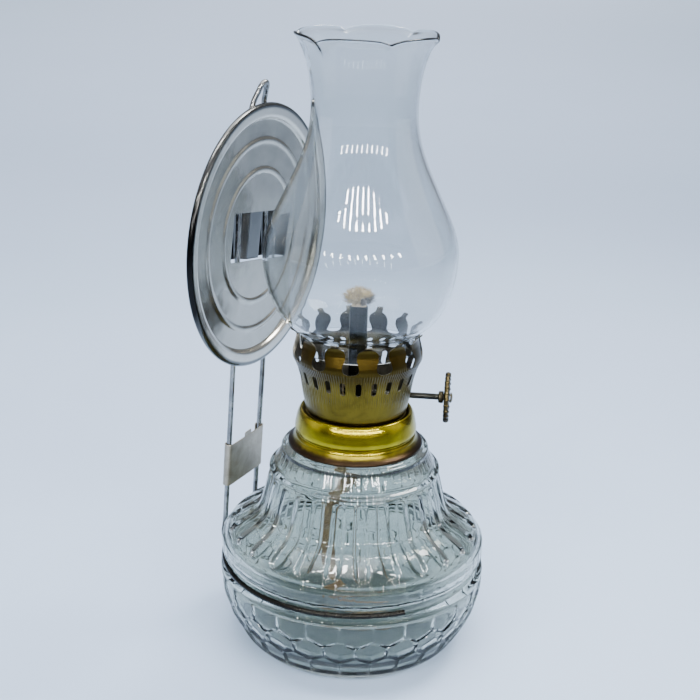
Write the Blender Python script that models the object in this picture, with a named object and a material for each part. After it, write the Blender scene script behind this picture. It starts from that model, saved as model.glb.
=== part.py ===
"""Hanging oil lamp: pressed-glass font, screw-in flat-wick burner, crimped chimney and a sliding wall reflector.

The lamp stands on the plane Z = 0 with its axis on Z. The reflector hangs straight behind it, at +Y.
Sizes are in millimetres and are scaled to metres where a mesh is made.
"""
import math

import bmesh
import bpy
from mathutils import Euler, Matrix, Vector

MM = 0.001
GAP = 0.3  # clearance between touching pieces

# Glass font
FONT_SEGMENTS = 40
GROOVE_RADIUS = 52.6
GROOVE_LOW = 34.6
GROOVE_HIGH = 38.2
SHOULDER_HEIGHT = 87.1
NECK_RADIUS = 21.3
NECK_BORE = 17.0
NECK_TOP = 93.5

# Screw collar and burner thread
THREAD_SEGMENTS = 36
THREAD_PITCH = 3.4
THREAD_DEPTH = 0.35
THREAD_STEP = THREAD_PITCH / 5
COLLAR_SHEET = 0.7
COLLAR_THREAD_RADIUS = 21.0
COLLAR_THREAD_LOW = 94.4
COLLAR_THREAD_TURNS = 2
SKIRT_THREAD_RADIUS = 20.5
SKIRT_BORE = 19.5
SKIRT_LOW = 95.3
BASE_TOP = 101.6
BASE_SHEET = 0.8
GASKET_THICKNESS = 1.2

# Burner: turned so that its knob points where the wick is adjusted
KNOB_DIRECTION = math.radians(290)
PRONGS = 12
SHEET = 0.5
TUBE_HALF = (3.65, 1.65)
TUBE_WALL = 0.3
TUBE_LOW = 90.0
TUBE_TOP = 145.5
SHAFT_OFFSET = 4.55
SHAFT_HEIGHT = 107.1
SHAFT_RADIUS = 1.25
SHAFT_INNER_END = -7.0
SPROCKET_PLACES = (-1.9, 1.9)
SPROCKET_TEETH = 10
SPROCKET_TIP = 3.25
SPROCKET_ROOT = 2.35
SPROCKET_THICKNESS = 0.8
KNOB_RADIUS = 10.4
KNOB_INNER_FACE = 35.5
KNOB_THICKNESS = 2.2
KNOB_HOLES = 6
WICK_HALF = (3.05, 1.0)
WICK_TOP = 154.0

# Glass chimney
CHIMNEY_SEGMENTS = 36
CHIMNEY_WALL = 1.5
CRIMPS = 6
CRIMP_DIRECTION = math.radians(44.3)
CRIMP_DROP = 2.1
CRIMP_FLARE = 0.8
CRIMP_START = 244.0
CHIMNEY_TOP = 252.0

# Wire hanger and tinplate reflector
WIRE_RADIUS = 1.1
WIRE_SPREAD = 12.5
WIRE_LEAN = math.radians(3.3)
WIRE_BEND = 115.0
UPPER_LEAN = math.radians(1.7)
HANGER_DISTANCE = 55.3
HANGER_LEVEL = 40.0
RING_RADIUS = 54.0
RING_HEIGHT = 36.4
RING_END = math.radians(228.7)
RING_BEND = math.radians(111)
# half the wires' distance from each other, at each height
WIRE_COURSE = [(WIRE_SPREAD + 0.3, 41.0), (WIRE_SPREAD, 46.0), (WIRE_SPREAD, 80.0), (WIRE_SPREAD, WIRE_BEND), (10.1, 192.0)]
# height, distance behind the axis, half the wires' distance and shift to the side
HOOK_COURSE = [(204.0, 48.2, 8.3, 0.5), (213.0, 47.85, 6.3, 1.0), (221.0, 47.5, 4.5, 1.7), (224.4, 46.6, 3.7, 2.0)]
HOOK_HALF = 2.7
HOOK_CENTER = 227.0
HOOK_DISTANCE = 45.6
HOOK_LEAN = math.radians(20)
DISC_HEIGHT = 167.8
DISC_DISTANCE = 46.5
DISC_LEAN = math.radians(0.7)
DISC_TURN = math.radians(9)  # it hangs a little askew
DISC_SEGMENTS = 32
DISC_SHEET = 0.5
RIDGE_RADII = (27.0, 38.8)
STRAP_HALF_HEIGHT = 9.7
STRIP_DEPTH = 2.2
CHANNEL_DEPTH = 4.75
WINDOW_HALF = (20.8, 9.9)
CLIP_LOW = 60.0
CLIP_HEIGHT = 19.0


# ---------------------------------------------------------------- materials


def material(name, color, roughness, metallic=0.0, transmission=0.0):
    """A Principled material in one colour."""
    made = bpy.data.materials.new(name)
    made.use_nodes = True
    shader = made.node_tree.nodes["Principled BSDF"]
    shader.inputs["Base Color"].default_value = (*color, 1.0)
    shader.inputs["Roughness"].default_value = roughness
    shader.inputs["Metallic"].default_value = metallic
    shader.inputs["Transmission Weight"].default_value = transmission
    made.diffuse_color = (*color, 1.0)
    return made


# ------------------------------------------------------------ mesh building


def make_object(name, bm, finish, parent=None, smooth_angle=40):
    """Turn a bmesh in millimetres into an object in metres."""
    bmesh.ops.scale(bm, vec=(MM, MM, MM), verts=bm.verts)
    bmesh.ops.recalc_face_normals(bm, faces=bm.faces)
    mesh = bpy.data.meshes.new(name)
    bm.to_mesh(mesh)
    bm.free()
    mesh.shade_smooth()
    mesh.set_sharp_from_angle(angle=math.radians(smooth_angle))
    made = bpy.data.objects.new(name, mesh)
    bpy.context.collection.objects.link(made)
    if finish:
        mesh.materials.append(finish)
    made.parent = parent
    return made


def empty(name, location=(0, 0, 0), rotation=(0, 0, 0), parent=None):
    """An empty that carries pieces; location in millimetres."""
    made = bpy.data.objects.new(name, None)
    bpy.context.collection.objects.link(made)
    made.location = [v * MM for v in location]
    made.rotation_euler = rotation
    made.parent = parent
    return made


def spin_outline(outline, segments, closed=True):
    """Spin a (radius, height) outline around Z. Points on the axis become poles."""
    bm = bmesh.new()
    verts = [bm.verts.new((r, 0, z)) for r, z in outline]
    edges = [bm.edges.new(pair) for pair in zip(verts, verts[1:])]
    if closed and (outline[0][0] > 0 or outline[-1][0] > 0):
        edges.append(bm.edges.new((verts[-1], verts[0])))
    bmesh.ops.spin(
        bm, geom=verts + edges, cent=(0, 0, 0), axis=(0, 0, 1), angle=math.tau, steps=segments, use_merge=True
    )
    bmesh.ops.remove_doubles(bm, verts=bm.verts, dist=0.0001)
    return bm


def plate(loops, thickness):
    """Fill a flat outline with its holes in the XY plane and extrude it along Z."""
    bm = bmesh.new()
    edges = []
    for loop in loops:
        verts = [bm.verts.new((x, y, 0)) for x, y in loop]
        edges += [bm.edges.new((a, b)) for a, b in zip(verts, verts[1:] + verts[:1])]
    filled = bmesh.ops.triangle_fill(bm, use_beauty=True, use_dissolve=False, edges=edges)
    faces = [f for f in filled["geom"] if isinstance(f, bmesh.types.BMFace)]
    grown = bmesh.ops.extrude_face_region(bm, geom=faces, use_keep_orig=True)
    lifted = [v for v in grown["geom"] if isinstance(v, bmesh.types.BMVert)]
    bmesh.ops.translate(bm, vec=(0, 0, thickness), verts=lifted)
    return bm


def circle(radius, count, center=(0, 0), phase=0.0):
    """Points of a regular polygon."""
    angles = [phase + math.tau * i / count for i in range(count)]
    return [(center[0] + radius * math.cos(a), center[1] + radius * math.sin(a)) for a in angles]


def cylinder(radius, low, high, count=16):
    """A cylinder along Z."""
    bm = plate([circle(radius, count)], high - low)
    bmesh.ops.translate(bm, vec=(0, 0, low), verts=bm.verts)
    return bm


def box(low, high):
    """A box between two corners."""
    bm = bmesh.new()
    bmesh.ops.create_cube(bm, size=1)
    size = [b - a for a, b in zip(low, high)]
    middle = [(a + b) / 2 for a, b in zip(low, high)]
    bmesh.ops.scale(bm, vec=size, verts=bm.verts)
    bmesh.ops.translate(bm, vec=middle, verts=bm.verts)
    return bm


def offset_outline(points, distance):
    """The open outline moved sideways, to the left of its direction."""
    moved = []
    for i, (r, z) in enumerate(points):
        before = points[max(i - 1, 0)]
        after = points[min(i + 1, len(points) - 1)]
        along = Vector((after[0] - before[0], after[1] - before[1])).normalized()
        moved.append((r - along.y * distance, z + along.x * distance))
    return moved


def arc(center, radius, start, end, count):
    """Points on an arc; the angles are in degrees."""
    angles = [math.radians(start + (end - start) * i / (count - 1)) for i in range(count)]
    return [(center[0] + radius * math.cos(a), center[1] + radius * math.sin(a)) for a in angles]


def smooth_route(points, steps):
    """A Catmull-Rom curve through the points, with the same number of steps in each stretch."""
    pts = [Vector(p) for p in points]
    pts = [2 * pts[0] - pts[1], *pts, 2 * pts[-1] - pts[-2]]
    route = []
    for a, b, c, d in zip(pts, pts[1:], pts[2:], pts[3:]):
        for i in range(steps):
            t = i / steps
            route.append(0.5 * (2 * b + (c - a) * t + (2 * a - 5 * b + 4 * c - d) * t**2 + (3 * b - a - 3 * c + d) * t**3))
    route.append(pts[-2])
    return route


def boolean(target, cutter, operation="DIFFERENCE"):
    """Cut or join with a hidden guide object."""
    cutter.hide_render = True
    cutter.display_type = "WIRE"
    step = target.modifiers.new(cutter.name, "BOOLEAN")
    step.operation = operation
    step.solver = "EXACT"
    step.object = cutter


def solidify(target, thickness):
    """Give an open sheet its thickness, half to each side."""
    step = target.modifiers.new("sheet", "SOLIDIFY")
    step.thickness = thickness * MM
    step.offset = 0.0
    step.use_even_offset = True


# ---------------------------------------------------------------- the font


def make_font(finish):
    """The fuel bowl: pressed glass with a waist groove for the hanger and a short neck for the collar."""
    outside = [
        (0, 0), (40.0, 0), (43.6, 1.6), (46.4, 5.0), (50.0, 10.8), (53.4, 18.0), (55.2, 26.0), (55.6, 31.5),
        (55.2, GROOVE_LOW - 0.4), (GROOVE_RADIUS, GROOVE_LOW), (GROOVE_RADIUS, GROOVE_HIGH),
        (54.3, GROOVE_HIGH + 0.4), (54.9, 41.5), (54.8, 45.6), (53.0, 49.0), (48.6, 52.4), (42.6, 55.6),
        (39.4, 58.2), (37.7, 63.0), (36.9, 67.4), (35.4, 72.0), (32.2, 80.0), (29.6, 85.4), (27.6, SHOULDER_HEIGHT),
    ]  # fmt: skip
    neck = [(NECK_RADIUS, SHOULDER_HEIGHT), (NECK_RADIUS, NECK_TOP), (NECK_BORE, NECK_TOP), (NECK_BORE, 86.0)]
    inside = [
        (21.5, 83.4), (28.0, 78.4), (32.0, 70.6), (34.2, 62.0), (36.6, 56.4), (43.0, 51.6), (50.0, 46.6),
        (51.4, 42.5), (49.4, 38.8), (49.4, 34.2), (51.8, 30.0), (51.6, 24.0), (48.2, 15.0), (42.0, 7.4),
        (36.0, 4.6), (0, 4.0),
    ]  # fmt: skip
    return make_object("font", spin_outline(outside + neck + inside, FONT_SEGMENTS), finish)


# ------------------------------------------------- collar, cement and gasket


def thread_shape(bm, mean_radius, low, high):
    """Turn the plain wall at mean_radius into a rounded thread."""
    for v in bm.verts:
        radius = math.hypot(v.co.x, v.co.y)
        if abs(radius - mean_radius) < 0.01 and low - 0.01 <= v.co.z <= high + 0.01:
            turn = math.tau * v.co.z / THREAD_PITCH - math.atan2(v.co.y, v.co.x)
            scale = (mean_radius + THREAD_DEPTH * math.cos(turn)) / mean_radius
            v.co.x *= scale
            v.co.y *= scale


def make_collar(finish):
    """The stamped brass collar: a flange on the glass, a round shoulder and a threaded throat."""
    wall = [
        (27.6, 87.4), (27.6, 88.3), (26.3, 89.2), (25.0, 90.2), (24.4, 91.6), (24.0, 92.3), (24.5, 93.2),
        (24.9, 96.0), (24.8, 99.0), (24.0, 101.5), (22.9, 102.6), (21.9, 102.2),
    ]  # fmt: skip
    thread_high = COLLAR_THREAD_LOW + COLLAR_THREAD_TURNS * THREAD_PITCH
    steps = round((thread_high - COLLAR_THREAD_LOW) / THREAD_STEP)
    thread = [(COLLAR_THREAD_RADIUS, thread_high - i * THREAD_STEP) for i in range(steps + 1)]
    back_radius = COLLAR_THREAD_RADIUS + THREAD_DEPTH + COLLAR_SHEET
    throat_back = [(back_radius, COLLAR_THREAD_LOW), (back_radius, thread_high - 0.4)]
    lining = offset_outline(wall[:-2], COLLAR_SHEET)[::-1]
    bm = spin_outline(wall + thread + throat_back + lining, THREAD_SEGMENTS)
    thread_shape(bm, COLLAR_THREAD_RADIUS, COLLAR_THREAD_LOW, thread_high)
    return make_object("collar", bm, finish)


def make_ring(name, inner, outer, low, high, finish, parent=None):
    """A plain ring with a rectangular section."""
    outline = [(inner, low), (outer, low), (outer, high), (inner, high)]
    return make_object(name, spin_outline(outline, THREAD_SEGMENTS), finish, parent)


# --------------------------------------------------------------- the burner


def make_burner_base(finish, parent):
    """The threaded skirt and its floor, with a slot for the wick tube."""
    thread_high = BASE_TOP - 0.9
    steps = round((thread_high - SKIRT_LOW) / THREAD_STEP)
    rise = (thread_high - SKIRT_LOW) / steps
    thread = [(SKIRT_THREAD_RADIUS, SKIRT_LOW + i * rise) for i in range(steps + 1)]
    rim = [(20.6, BASE_TOP - 0.4), (20.2, BASE_TOP), (0, BASE_TOP), (0, BASE_TOP - BASE_SHEET)]
    bore = [(SKIRT_BORE, BASE_TOP - BASE_SHEET), (SKIRT_BORE, SKIRT_LOW)]
    outline = thread + rim + bore
    bm = bmesh.new()
    verts = [bm.verts.new((r, 0, z)) for r, z in outline]
    edges = [bm.edges.new((a, b)) for a, b in zip(verts, verts[1:] + verts[:1]) if a.co.x > 0 or b.co.x > 0]
    bmesh.ops.spin(
        bm, geom=verts + edges, cent=(0, 0, 0), axis=(0, 0, 1), angle=math.tau, steps=THREAD_SEGMENTS, use_merge=True
    )
    bmesh.ops.remove_doubles(bm, verts=bm.verts, dist=0.0001)
    thread_shape(bm, SKIRT_THREAD_RADIUS, SKIRT_LOW, thread_high)
    # the thread keeps the collar's phase, whatever way the burner is turned
    bmesh.ops.rotate(bm, cent=(0, 0, 0), matrix=Matrix.Rotation(-KNOB_DIRECTION, 3, "Z"), verts=bm.verts)
    base = make_object("burner_base", bm, finish, parent)
    margin = GAP + 0.1
    reach = [side + margin for side in TUBE_HALF]
    slot = box((-reach[0], -reach[1], BASE_TOP - 3), (reach[0], reach[1], BASE_TOP + 2))
    boolean(base, make_object("tube_slot_cutter", slot, None, parent))
    return base


def gallery_radius(height):
    """Middle radius of the cup and its prongs at a height."""
    course = [
        (102.15, 20.2), (102.9, 20.6), (109.5, 21.7), (116.3, 22.8), (120.8, 24.1), (124.9, 25.9), (127.0, 25.95),
        (129.5, 25.4), (132.0, 24.7), (134.0, 24.45), (135.4, 24.75), (136.5, 25.4),
    ]  # fmt: skip
    for (z0, r0), (z1, r1) in zip(course, course[1:]):
        if height <= z1:
            return r0 + (r1 - r0) * (height - z0) / (z1 - z0)
    return course[-1][1]


def make_gallery(finish, parent):
    """The stamped cup: an inner flange, a ring of air slots and prongs that grip the chimney."""
    sector = math.tau / PRONGS
    pitch = math.degrees(sector)
    slot_near, slot_far = 4.8, 10.2
    columns = [-pitch / 2, -slot_far, -slot_near, 0, slot_near, slot_far, pitch / 2]
    cup_rows = [102.15, 102.9, 109.5, 115.6, 121.4, 124.9]
    slot_row = cup_rows.index(115.6)
    # half width of a prong, in degrees, from its root to its tip
    prong_rows = [(125.6, 9.9), (127.0, 7.8), (128.8, 8.3), (130.8, 9.5), (132.6, 9.9), (134.2, 8.8), (135.2, 5.9)]
    tip_rows = [(135.6, 3.3), (136.5, 3.1)]
    bm = bmesh.new()

    def point(degrees, radius, height):
        angle = math.radians(degrees)
        return bm.verts.new((radius * math.cos(angle), radius * math.sin(angle), height))

    for k in range(PRONGS):
        middle = pitch / 2 + pitch * k
        rows = [[point(middle + c, 18.2, cup_rows[0]) for c in columns]]
        rows += [[point(middle + c, gallery_radius(z), z) for c in columns] for z in cup_rows]
        for i, (lower, upper) in enumerate(zip(rows, rows[1:])):
            for j in range(len(columns) - 1):
                if i == slot_row + 1 and j in (1, 4):
                    continue
                bm.faces.new((lower[j], lower[j + 1], upper[j + 1], upper[j]))
        crown = rows[-1]
        blades = [[point(middle + c, gallery_radius(z), z) for c in (-h, 0, h)] for z, h in prong_rows + tip_rows]
        root = blades[0]
        bm.faces.new((crown[0], crown[1], root[0]))
        bm.faces.new((crown[1], crown[2], crown[3], root[1], root[0]))
        bm.faces.new((crown[3], crown[4], crown[5], root[2], root[1]))
        bm.faces.new((crown[5], crown[6], root[2]))
        for lower, upper in zip(blades, blades[1:]):
            for j in range(2):
                bm.faces.new((lower[j], lower[j + 1], upper[j + 1], upper[j]))
    bmesh.ops.remove_doubles(bm, verts=bm.verts, dist=0.001)
    gallery = make_object("gallery", bm, finish, parent, smooth_angle=50)
    solidify(gallery, SHEET)
    hole = cylinder(SHAFT_RADIUS + GAP, 15, 27, 12)
    bmesh.ops.rotate(hole, cent=(0, 0, 0), matrix=Matrix.Rotation(math.pi / 2, 3, "Y"), verts=hole.verts)
    bmesh.ops.translate(hole, vec=(0, SHAFT_OFFSET, SHAFT_HEIGHT), verts=hole.verts)
    boolean(gallery, make_object("shaft_hole_cutter", hole, None, parent))
    return gallery


def stadium(half_x, half_y, per_end):
    """A flat oval with round ends."""
    straight = half_x - half_y
    return arc((straight, 0), half_y, -90, 90, per_end) + arc((-straight, 0), half_y, 90, 270, per_end)


def make_wick_tube(finish, parent):
    """The flat tube that guides the wick, with two slots for the sprocket teeth."""
    inner = [side - TUBE_WALL for side in TUBE_HALF]
    bm = plate([stadium(*TUBE_HALF, 6), stadium(*inner, 6)], TUBE_TOP - TUBE_LOW)
    bmesh.ops.translate(bm, vec=(0, 0, TUBE_LOW), verts=bm.verts)
    tube = make_object("wick_tube", bm, finish, parent)
    half_width = SPROCKET_THICKNESS / 2 + 0.35
    half_height = 2.1
    for number, place in enumerate(SPROCKET_PLACES, 1):
        low = (place - half_width, TUBE_HALF[1] - 0.8, SHAFT_HEIGHT - half_height)
        high = (place + half_width, TUBE_HALF[1] + 0.6, SHAFT_HEIGHT + half_height)
        boolean(tube, make_object(f"tooth_slot_cutter_{number}", box(low, high), None, parent))
    return tube


def make_spindle_housing(finish, parent):
    """The bracket soldered behind the tube: a roof and two cheeks that carry the shaft."""
    half, sheet, low, high, depth = 6.2, 0.6, 103.2, 111.4, 6.6
    section = [
        (-half, low), (-half + sheet, low), (-half + sheet, high - sheet), (half - sheet, high - sheet),
        (half - sheet, low), (half, low), (half, high), (-half, high),
    ]  # fmt: skip
    bm = plate([section], depth)
    bmesh.ops.rotate(bm, cent=(0, 0, 0), matrix=Matrix.Rotation(math.pi / 2, 3, "X"), verts=bm.verts)
    bmesh.ops.translate(bm, vec=(0, TUBE_HALF[1] + GAP + depth, 0), verts=bm.verts)
    housing = make_object("spindle_housing", bm, finish, parent)
    hole = cylinder(SHAFT_RADIUS + GAP, -9, 9, 12)
    bmesh.ops.rotate(hole, cent=(0, 0, 0), matrix=Matrix.Rotation(math.pi / 2, 3, "Y"), verts=hole.verts)
    bmesh.ops.translate(hole, vec=(0, SHAFT_OFFSET, SHAFT_HEIGHT), verts=hole.verts)
    boolean(housing, make_object("bearing_cutter", hole, None, parent))
    return housing


# ------------------------------------------------------ spindle and thumb knob


def along_shaft(bm, start):
    """Lay a piece made along Z onto the shaft, which runs along X."""
    bmesh.ops.rotate(bm, cent=(0, 0, 0), matrix=Matrix.Rotation(math.pi / 2, 3, "Y"), verts=bm.verts)
    bmesh.ops.translate(bm, vec=(start, 0, 0), verts=bm.verts)
    return bm


def make_spindle(steel, brass, parent):
    """The shaft with its two sprockets, its hub, its wheel and the rivet that holds the wheel."""
    knob_outer_face = KNOB_INNER_FACE + KNOB_THICKNESS
    length = knob_outer_face - SHAFT_INNER_END
    make_object("wick_shaft", along_shaft(cylinder(SHAFT_RADIUS, 0, length, 12), SHAFT_INNER_END), steel, parent)
    bore = circle(SHAFT_RADIUS + GAP, 12)
    teeth = []
    for i in range(SPROCKET_TEETH):
        angle = math.tau * i / SPROCKET_TEETH
        half_tip, half_root = 0.07, 0.2
        for radius, turn in ((SPROCKET_ROOT, -half_root), (SPROCKET_TIP, -half_tip)):
            teeth.append((radius * math.cos(angle + turn), radius * math.sin(angle + turn)))
        for radius, turn in ((SPROCKET_TIP, half_tip), (SPROCKET_ROOT, half_root)):
            teeth.append((radius * math.cos(angle + turn), radius * math.sin(angle + turn)))
    for number, place in enumerate(SPROCKET_PLACES, 1):
        wheel = along_shaft(plate([teeth, bore], SPROCKET_THICKNESS), place - SPROCKET_THICKNESS / 2)
        make_object(f"sprocket_wheel_{number}", wheel, steel, parent)
    hub_length = 2.0
    hub = along_shaft(plate([circle(2.5, 16), bore], hub_length), KNOB_INNER_FACE - GAP - hub_length)
    make_object("knob_hub", hub, steel, parent)
    make_object("knob_wheel", knob_wheel(bore), brass, parent)
    rivet = spin_outline([(0, 0), (2.2, 0), (2.2, 0.3), (1.5, 0.8), (0, 1.0)], 12)
    make_object("knob_rivet", along_shaft(rivet, knob_outer_face + GAP), brass, parent)


def knob_wheel(bore):
    """The pierced thumb wheel: a scalloped rim, a centre boss and curled openings between its spokes."""
    scallops, points_each = 12, 4
    count = scallops * points_each
    rim = []
    for i in range(count):
        angle = math.tau * i / count
        radius = KNOB_RADIUS - 0.35 + 0.35 * math.cos(scallops * angle)
        rim.append((radius * math.cos(angle), radius * math.sin(angle)))
    holes = []
    for i in range(KNOB_HOLES):
        middle = math.tau * (i + 0.5) / KNOB_HOLES
        hole = []
        for radius, half in ((3.9, 0.2), (6.0, 0.4), (8.2, 0.36)):
            hole.append((radius, middle - half))
        for radius, half in ((8.7, 0.0), (8.2, 0.36), (6.0, 0.4), (3.9, 0.2)):
            hole.append((radius, middle + half))
        holes.append([(radius * math.cos(a), radius * math.sin(a)) for radius, a in hole])
    return along_shaft(plate([rim, bore, *holes], KNOB_THICKNESS), KNOB_INNER_FACE)


# ------------------------------------------------------------------ the wick


def make_wick(finish, parent):
    """The flat woven wick: straight through the tube, then down to the left and curled on the font's floor."""
    straight = [(0, 0, WICK_TOP), (0, 0, 130), (0, 0, 108), (0, 0, TUBE_LOW - 4.5)]
    tail = [
        (-0.8, 0, 80), (-4.6, -0.4, 70), (-8.4, -0.8, 59), (-9.9, -1.0, 46), (-9.7, -1.4, 33), (-6.8, -3.8, 22.5),
        (-0.4, -8.4, 16.8), (8.6, -13.2, 16.0), (16.4, -16.6, 17.2),
    ]  # fmt: skip
    route = straight + smooth_route([straight[-1], *tail], 3)[1:]
    route = [Vector(p) for p in route]
    bm = bmesh.new()
    rings = []
    for i, here in enumerate(route):
        along = (route[min(i + 1, len(route) - 1)] - route[max(i - 1, 0)]).normalized()
        # the tape turns a little below the tube, where it hangs to one side
        turn = math.radians(35) * min(max((TUBE_LOW - 4.5 - here.z) / 30, 0), 1)
        wide = Vector((math.cos(turn), math.sin(turn), 0))
        wide = (wide - along * wide.dot(along)).normalized()
        thick = along.cross(wide)
        half_x, half_y = WICK_HALF
        bevel = 0.5
        section = [
            (-half_x, -half_y + bevel), (-half_x + bevel, -half_y), (half_x - bevel, -half_y), (half_x, -half_y + bevel),
            (half_x, half_y - bevel), (half_x - bevel, half_y), (-half_x + bevel, half_y), (-half_x, half_y - bevel),
        ]  # fmt: skip
        rings.append([bm.verts.new(here + wide * a + thick * b) for a, b in section])
    for lower, upper in zip(rings, rings[1:]):
        for j in range(len(lower)):
            k = (j + 1) % len(lower)
            bm.faces.new((lower[j], lower[k], upper[k], upper[j]))
    bm.faces.new(rings[0])
    bm.faces.new(rings[-1])
    return make_object("wick", bm, finish, parent)


# --------------------------------------------------------------- the chimney


def make_chimney(finish, parent):
    """The blown chimney: a straight fitter, a bulb, a narrow neck and a crimped, flared mouth."""
    outside = [
        (23.4, 128.6), (23.4, 133.2), (23.8, 135.2), (25.0, 136.9), (27.6, 138.8), (30.8, 141.6), (33.6, 146.0),
        (36.3, 152.6), (38.3, 160.5), (38.6, 168.0), (37.4, 175.0), (34.3, 183.0), (29.6, 192.6), (25.3, 202.4),
        (22.2, 211.0), (20.8, 219.0), (20.7, 227.0), (21.7, 236.6), (23.4, 243.4), (25.3, 248.0), (27.7, CHIMNEY_TOP),
    ]  # fmt: skip
    inside = offset_outline(outside, CHIMNEY_WALL)[::-1]
    bm = spin_outline(outside + inside, CHIMNEY_SEGMENTS)
    bmesh.ops.rotate(bm, cent=(0, 0, 0), matrix=Matrix.Rotation(CRIMP_DIRECTION, 3, "Z"), verts=bm.verts)
    spacing = math.tau / CRIMPS
    crimp_half = math.radians(17)
    for v in bm.verts:
        if v.co.z > CRIMP_START:
            height_part = (v.co.z - CRIMP_START) / (CHIMNEY_TOP - CRIMP_START)
            turn = (math.atan2(v.co.y, v.co.x) - CRIMP_DIRECTION + spacing / 2) % spacing - spacing / 2
            depth = max(0.0, 1 - abs(turn) / crimp_half) * height_part**2
            radius = math.hypot(v.co.x, v.co.y)
            scale = (radius + CRIMP_FLARE * depth) / radius
            v.co.x *= scale
            v.co.y *= scale
            v.co.z -= CRIMP_DROP * depth
    chimney = make_object("chimney", bm, finish, parent)
    # the chimney stands on the lamp's axis, not on the turned burner
    chimney.rotation_euler = (0, 0, -parent.rotation_euler.z)
    return chimney


# ------------------------------------------------------ hanger and reflector


def on_hanger(x, height):
    """A point among the wires at a height above the table: they lean forwards, less so above their bend."""
    low = min(height, WIRE_BEND) - HANGER_LEVEL
    high = max(height - WIRE_BEND, 0.0)
    return Vector((x, HANGER_DISTANCE - low * math.tan(WIRE_LEAN) - high * math.tan(UPPER_LEAN), height))


def round_point(radius, angle, height):
    """A point at a radius and an angle around the lamp's axis."""
    return Vector((radius * math.cos(angle), radius * math.sin(angle), height))


def hanger_side(side):
    """One half of the hanger's wire: from its end in the groove up to the top of the hook."""
    sweep_steps = 24
    angles = [RING_END + (RING_BEND - RING_END) * i / sweep_steps for i in range(sweep_steps + 1)]
    points = [round_point(RING_RADIUS, a, RING_HEIGHT) for a in angles]
    points += [
        round_point(RING_RADIUS + 0.7, math.radians(108.6), RING_HEIGHT),
        round_point(RING_RADIUS + 2.0, math.radians(106.0), RING_HEIGHT + 0.3),
        round_point(RING_RADIUS + 2.8, math.radians(103.9), RING_HEIGHT + 1.9),
    ]
    points += [on_hanger(-x, height) for x, height in WIRE_COURSE]
    for point in points:
        point.x *= -side
    for height, distance, half, shift in HOOK_COURSE:
        points.append(Vector((shift + side * half, distance, height)))
    *_, shift = HOOK_COURSE[-1]
    for degrees in range(0, 91, 15):
        across, rise = HOOK_HALF * math.cos(math.radians(degrees)), HOOK_HALF * math.sin(math.radians(degrees))
        points.append(Vector((shift + side * across, HOOK_DISTANCE - rise * math.tan(HOOK_LEAN), HOOK_CENTER + rise)))
    return points


def make_hanger_wire(finish, parent):
    """One bent wire: a half ring in the font's groove, up, a narrow hook, and down to the other half ring."""
    route = hanger_side(-1) + hanger_side(1)[-2::-1]
    curve = bpy.data.curves.new("hanger_wire", "CURVE")
    curve.dimensions = "3D"
    curve.bevel_depth = WIRE_RADIUS * MM
    curve.bevel_resolution = 2
    curve.use_fill_caps = True
    spline = curve.splines.new("POLY")
    spline.points.add(len(route) - 1)
    for target, p in zip(spline.points, route):
        target.co = (*(p * MM), 1)
        target.radius = 1
    curve.materials.append(finish)
    made = bpy.data.objects.new("hanger_wire", curve)
    bpy.context.collection.objects.link(made)
    made.parent = parent
    return made


def thick_section(middle_line, thickness):
    """A closed section around an open middle line."""
    return offset_outline(middle_line, thickness / 2) + offset_outline(middle_line, -thickness / 2)[::-1]


def make_clip_plate(finish, parent):
    """The tin plate that holds the two wires together, its side edges rolled round them."""
    roll = WIRE_RADIUS + GAP + SHEET / 2
    right = arc((WIRE_SPREAD, 0), roll, -90, 150, 9)
    left = [(-x, y) for x, y in right[::-1]]
    bm = plate([thick_section(left + right, SHEET)], CLIP_HEIGHT)
    carrier = empty("clip_place", on_hanger(0, CLIP_LOW), (WIRE_LEAN, 0, 0), parent)
    clip = make_object("hanger_clip_plate", bm, finish, carrier)
    tab_half, tab_height, overlap = 2.6, 2.0, 1.0
    low = (-tab_half, -roll - 0.2, CLIP_HEIGHT - overlap)
    high = (tab_half, -roll + 0.2, CLIP_HEIGHT + tab_height)
    boolean(clip, make_object("clip_tab_guide", box(low, high), None, carrier), "UNION")
    return clip


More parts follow.
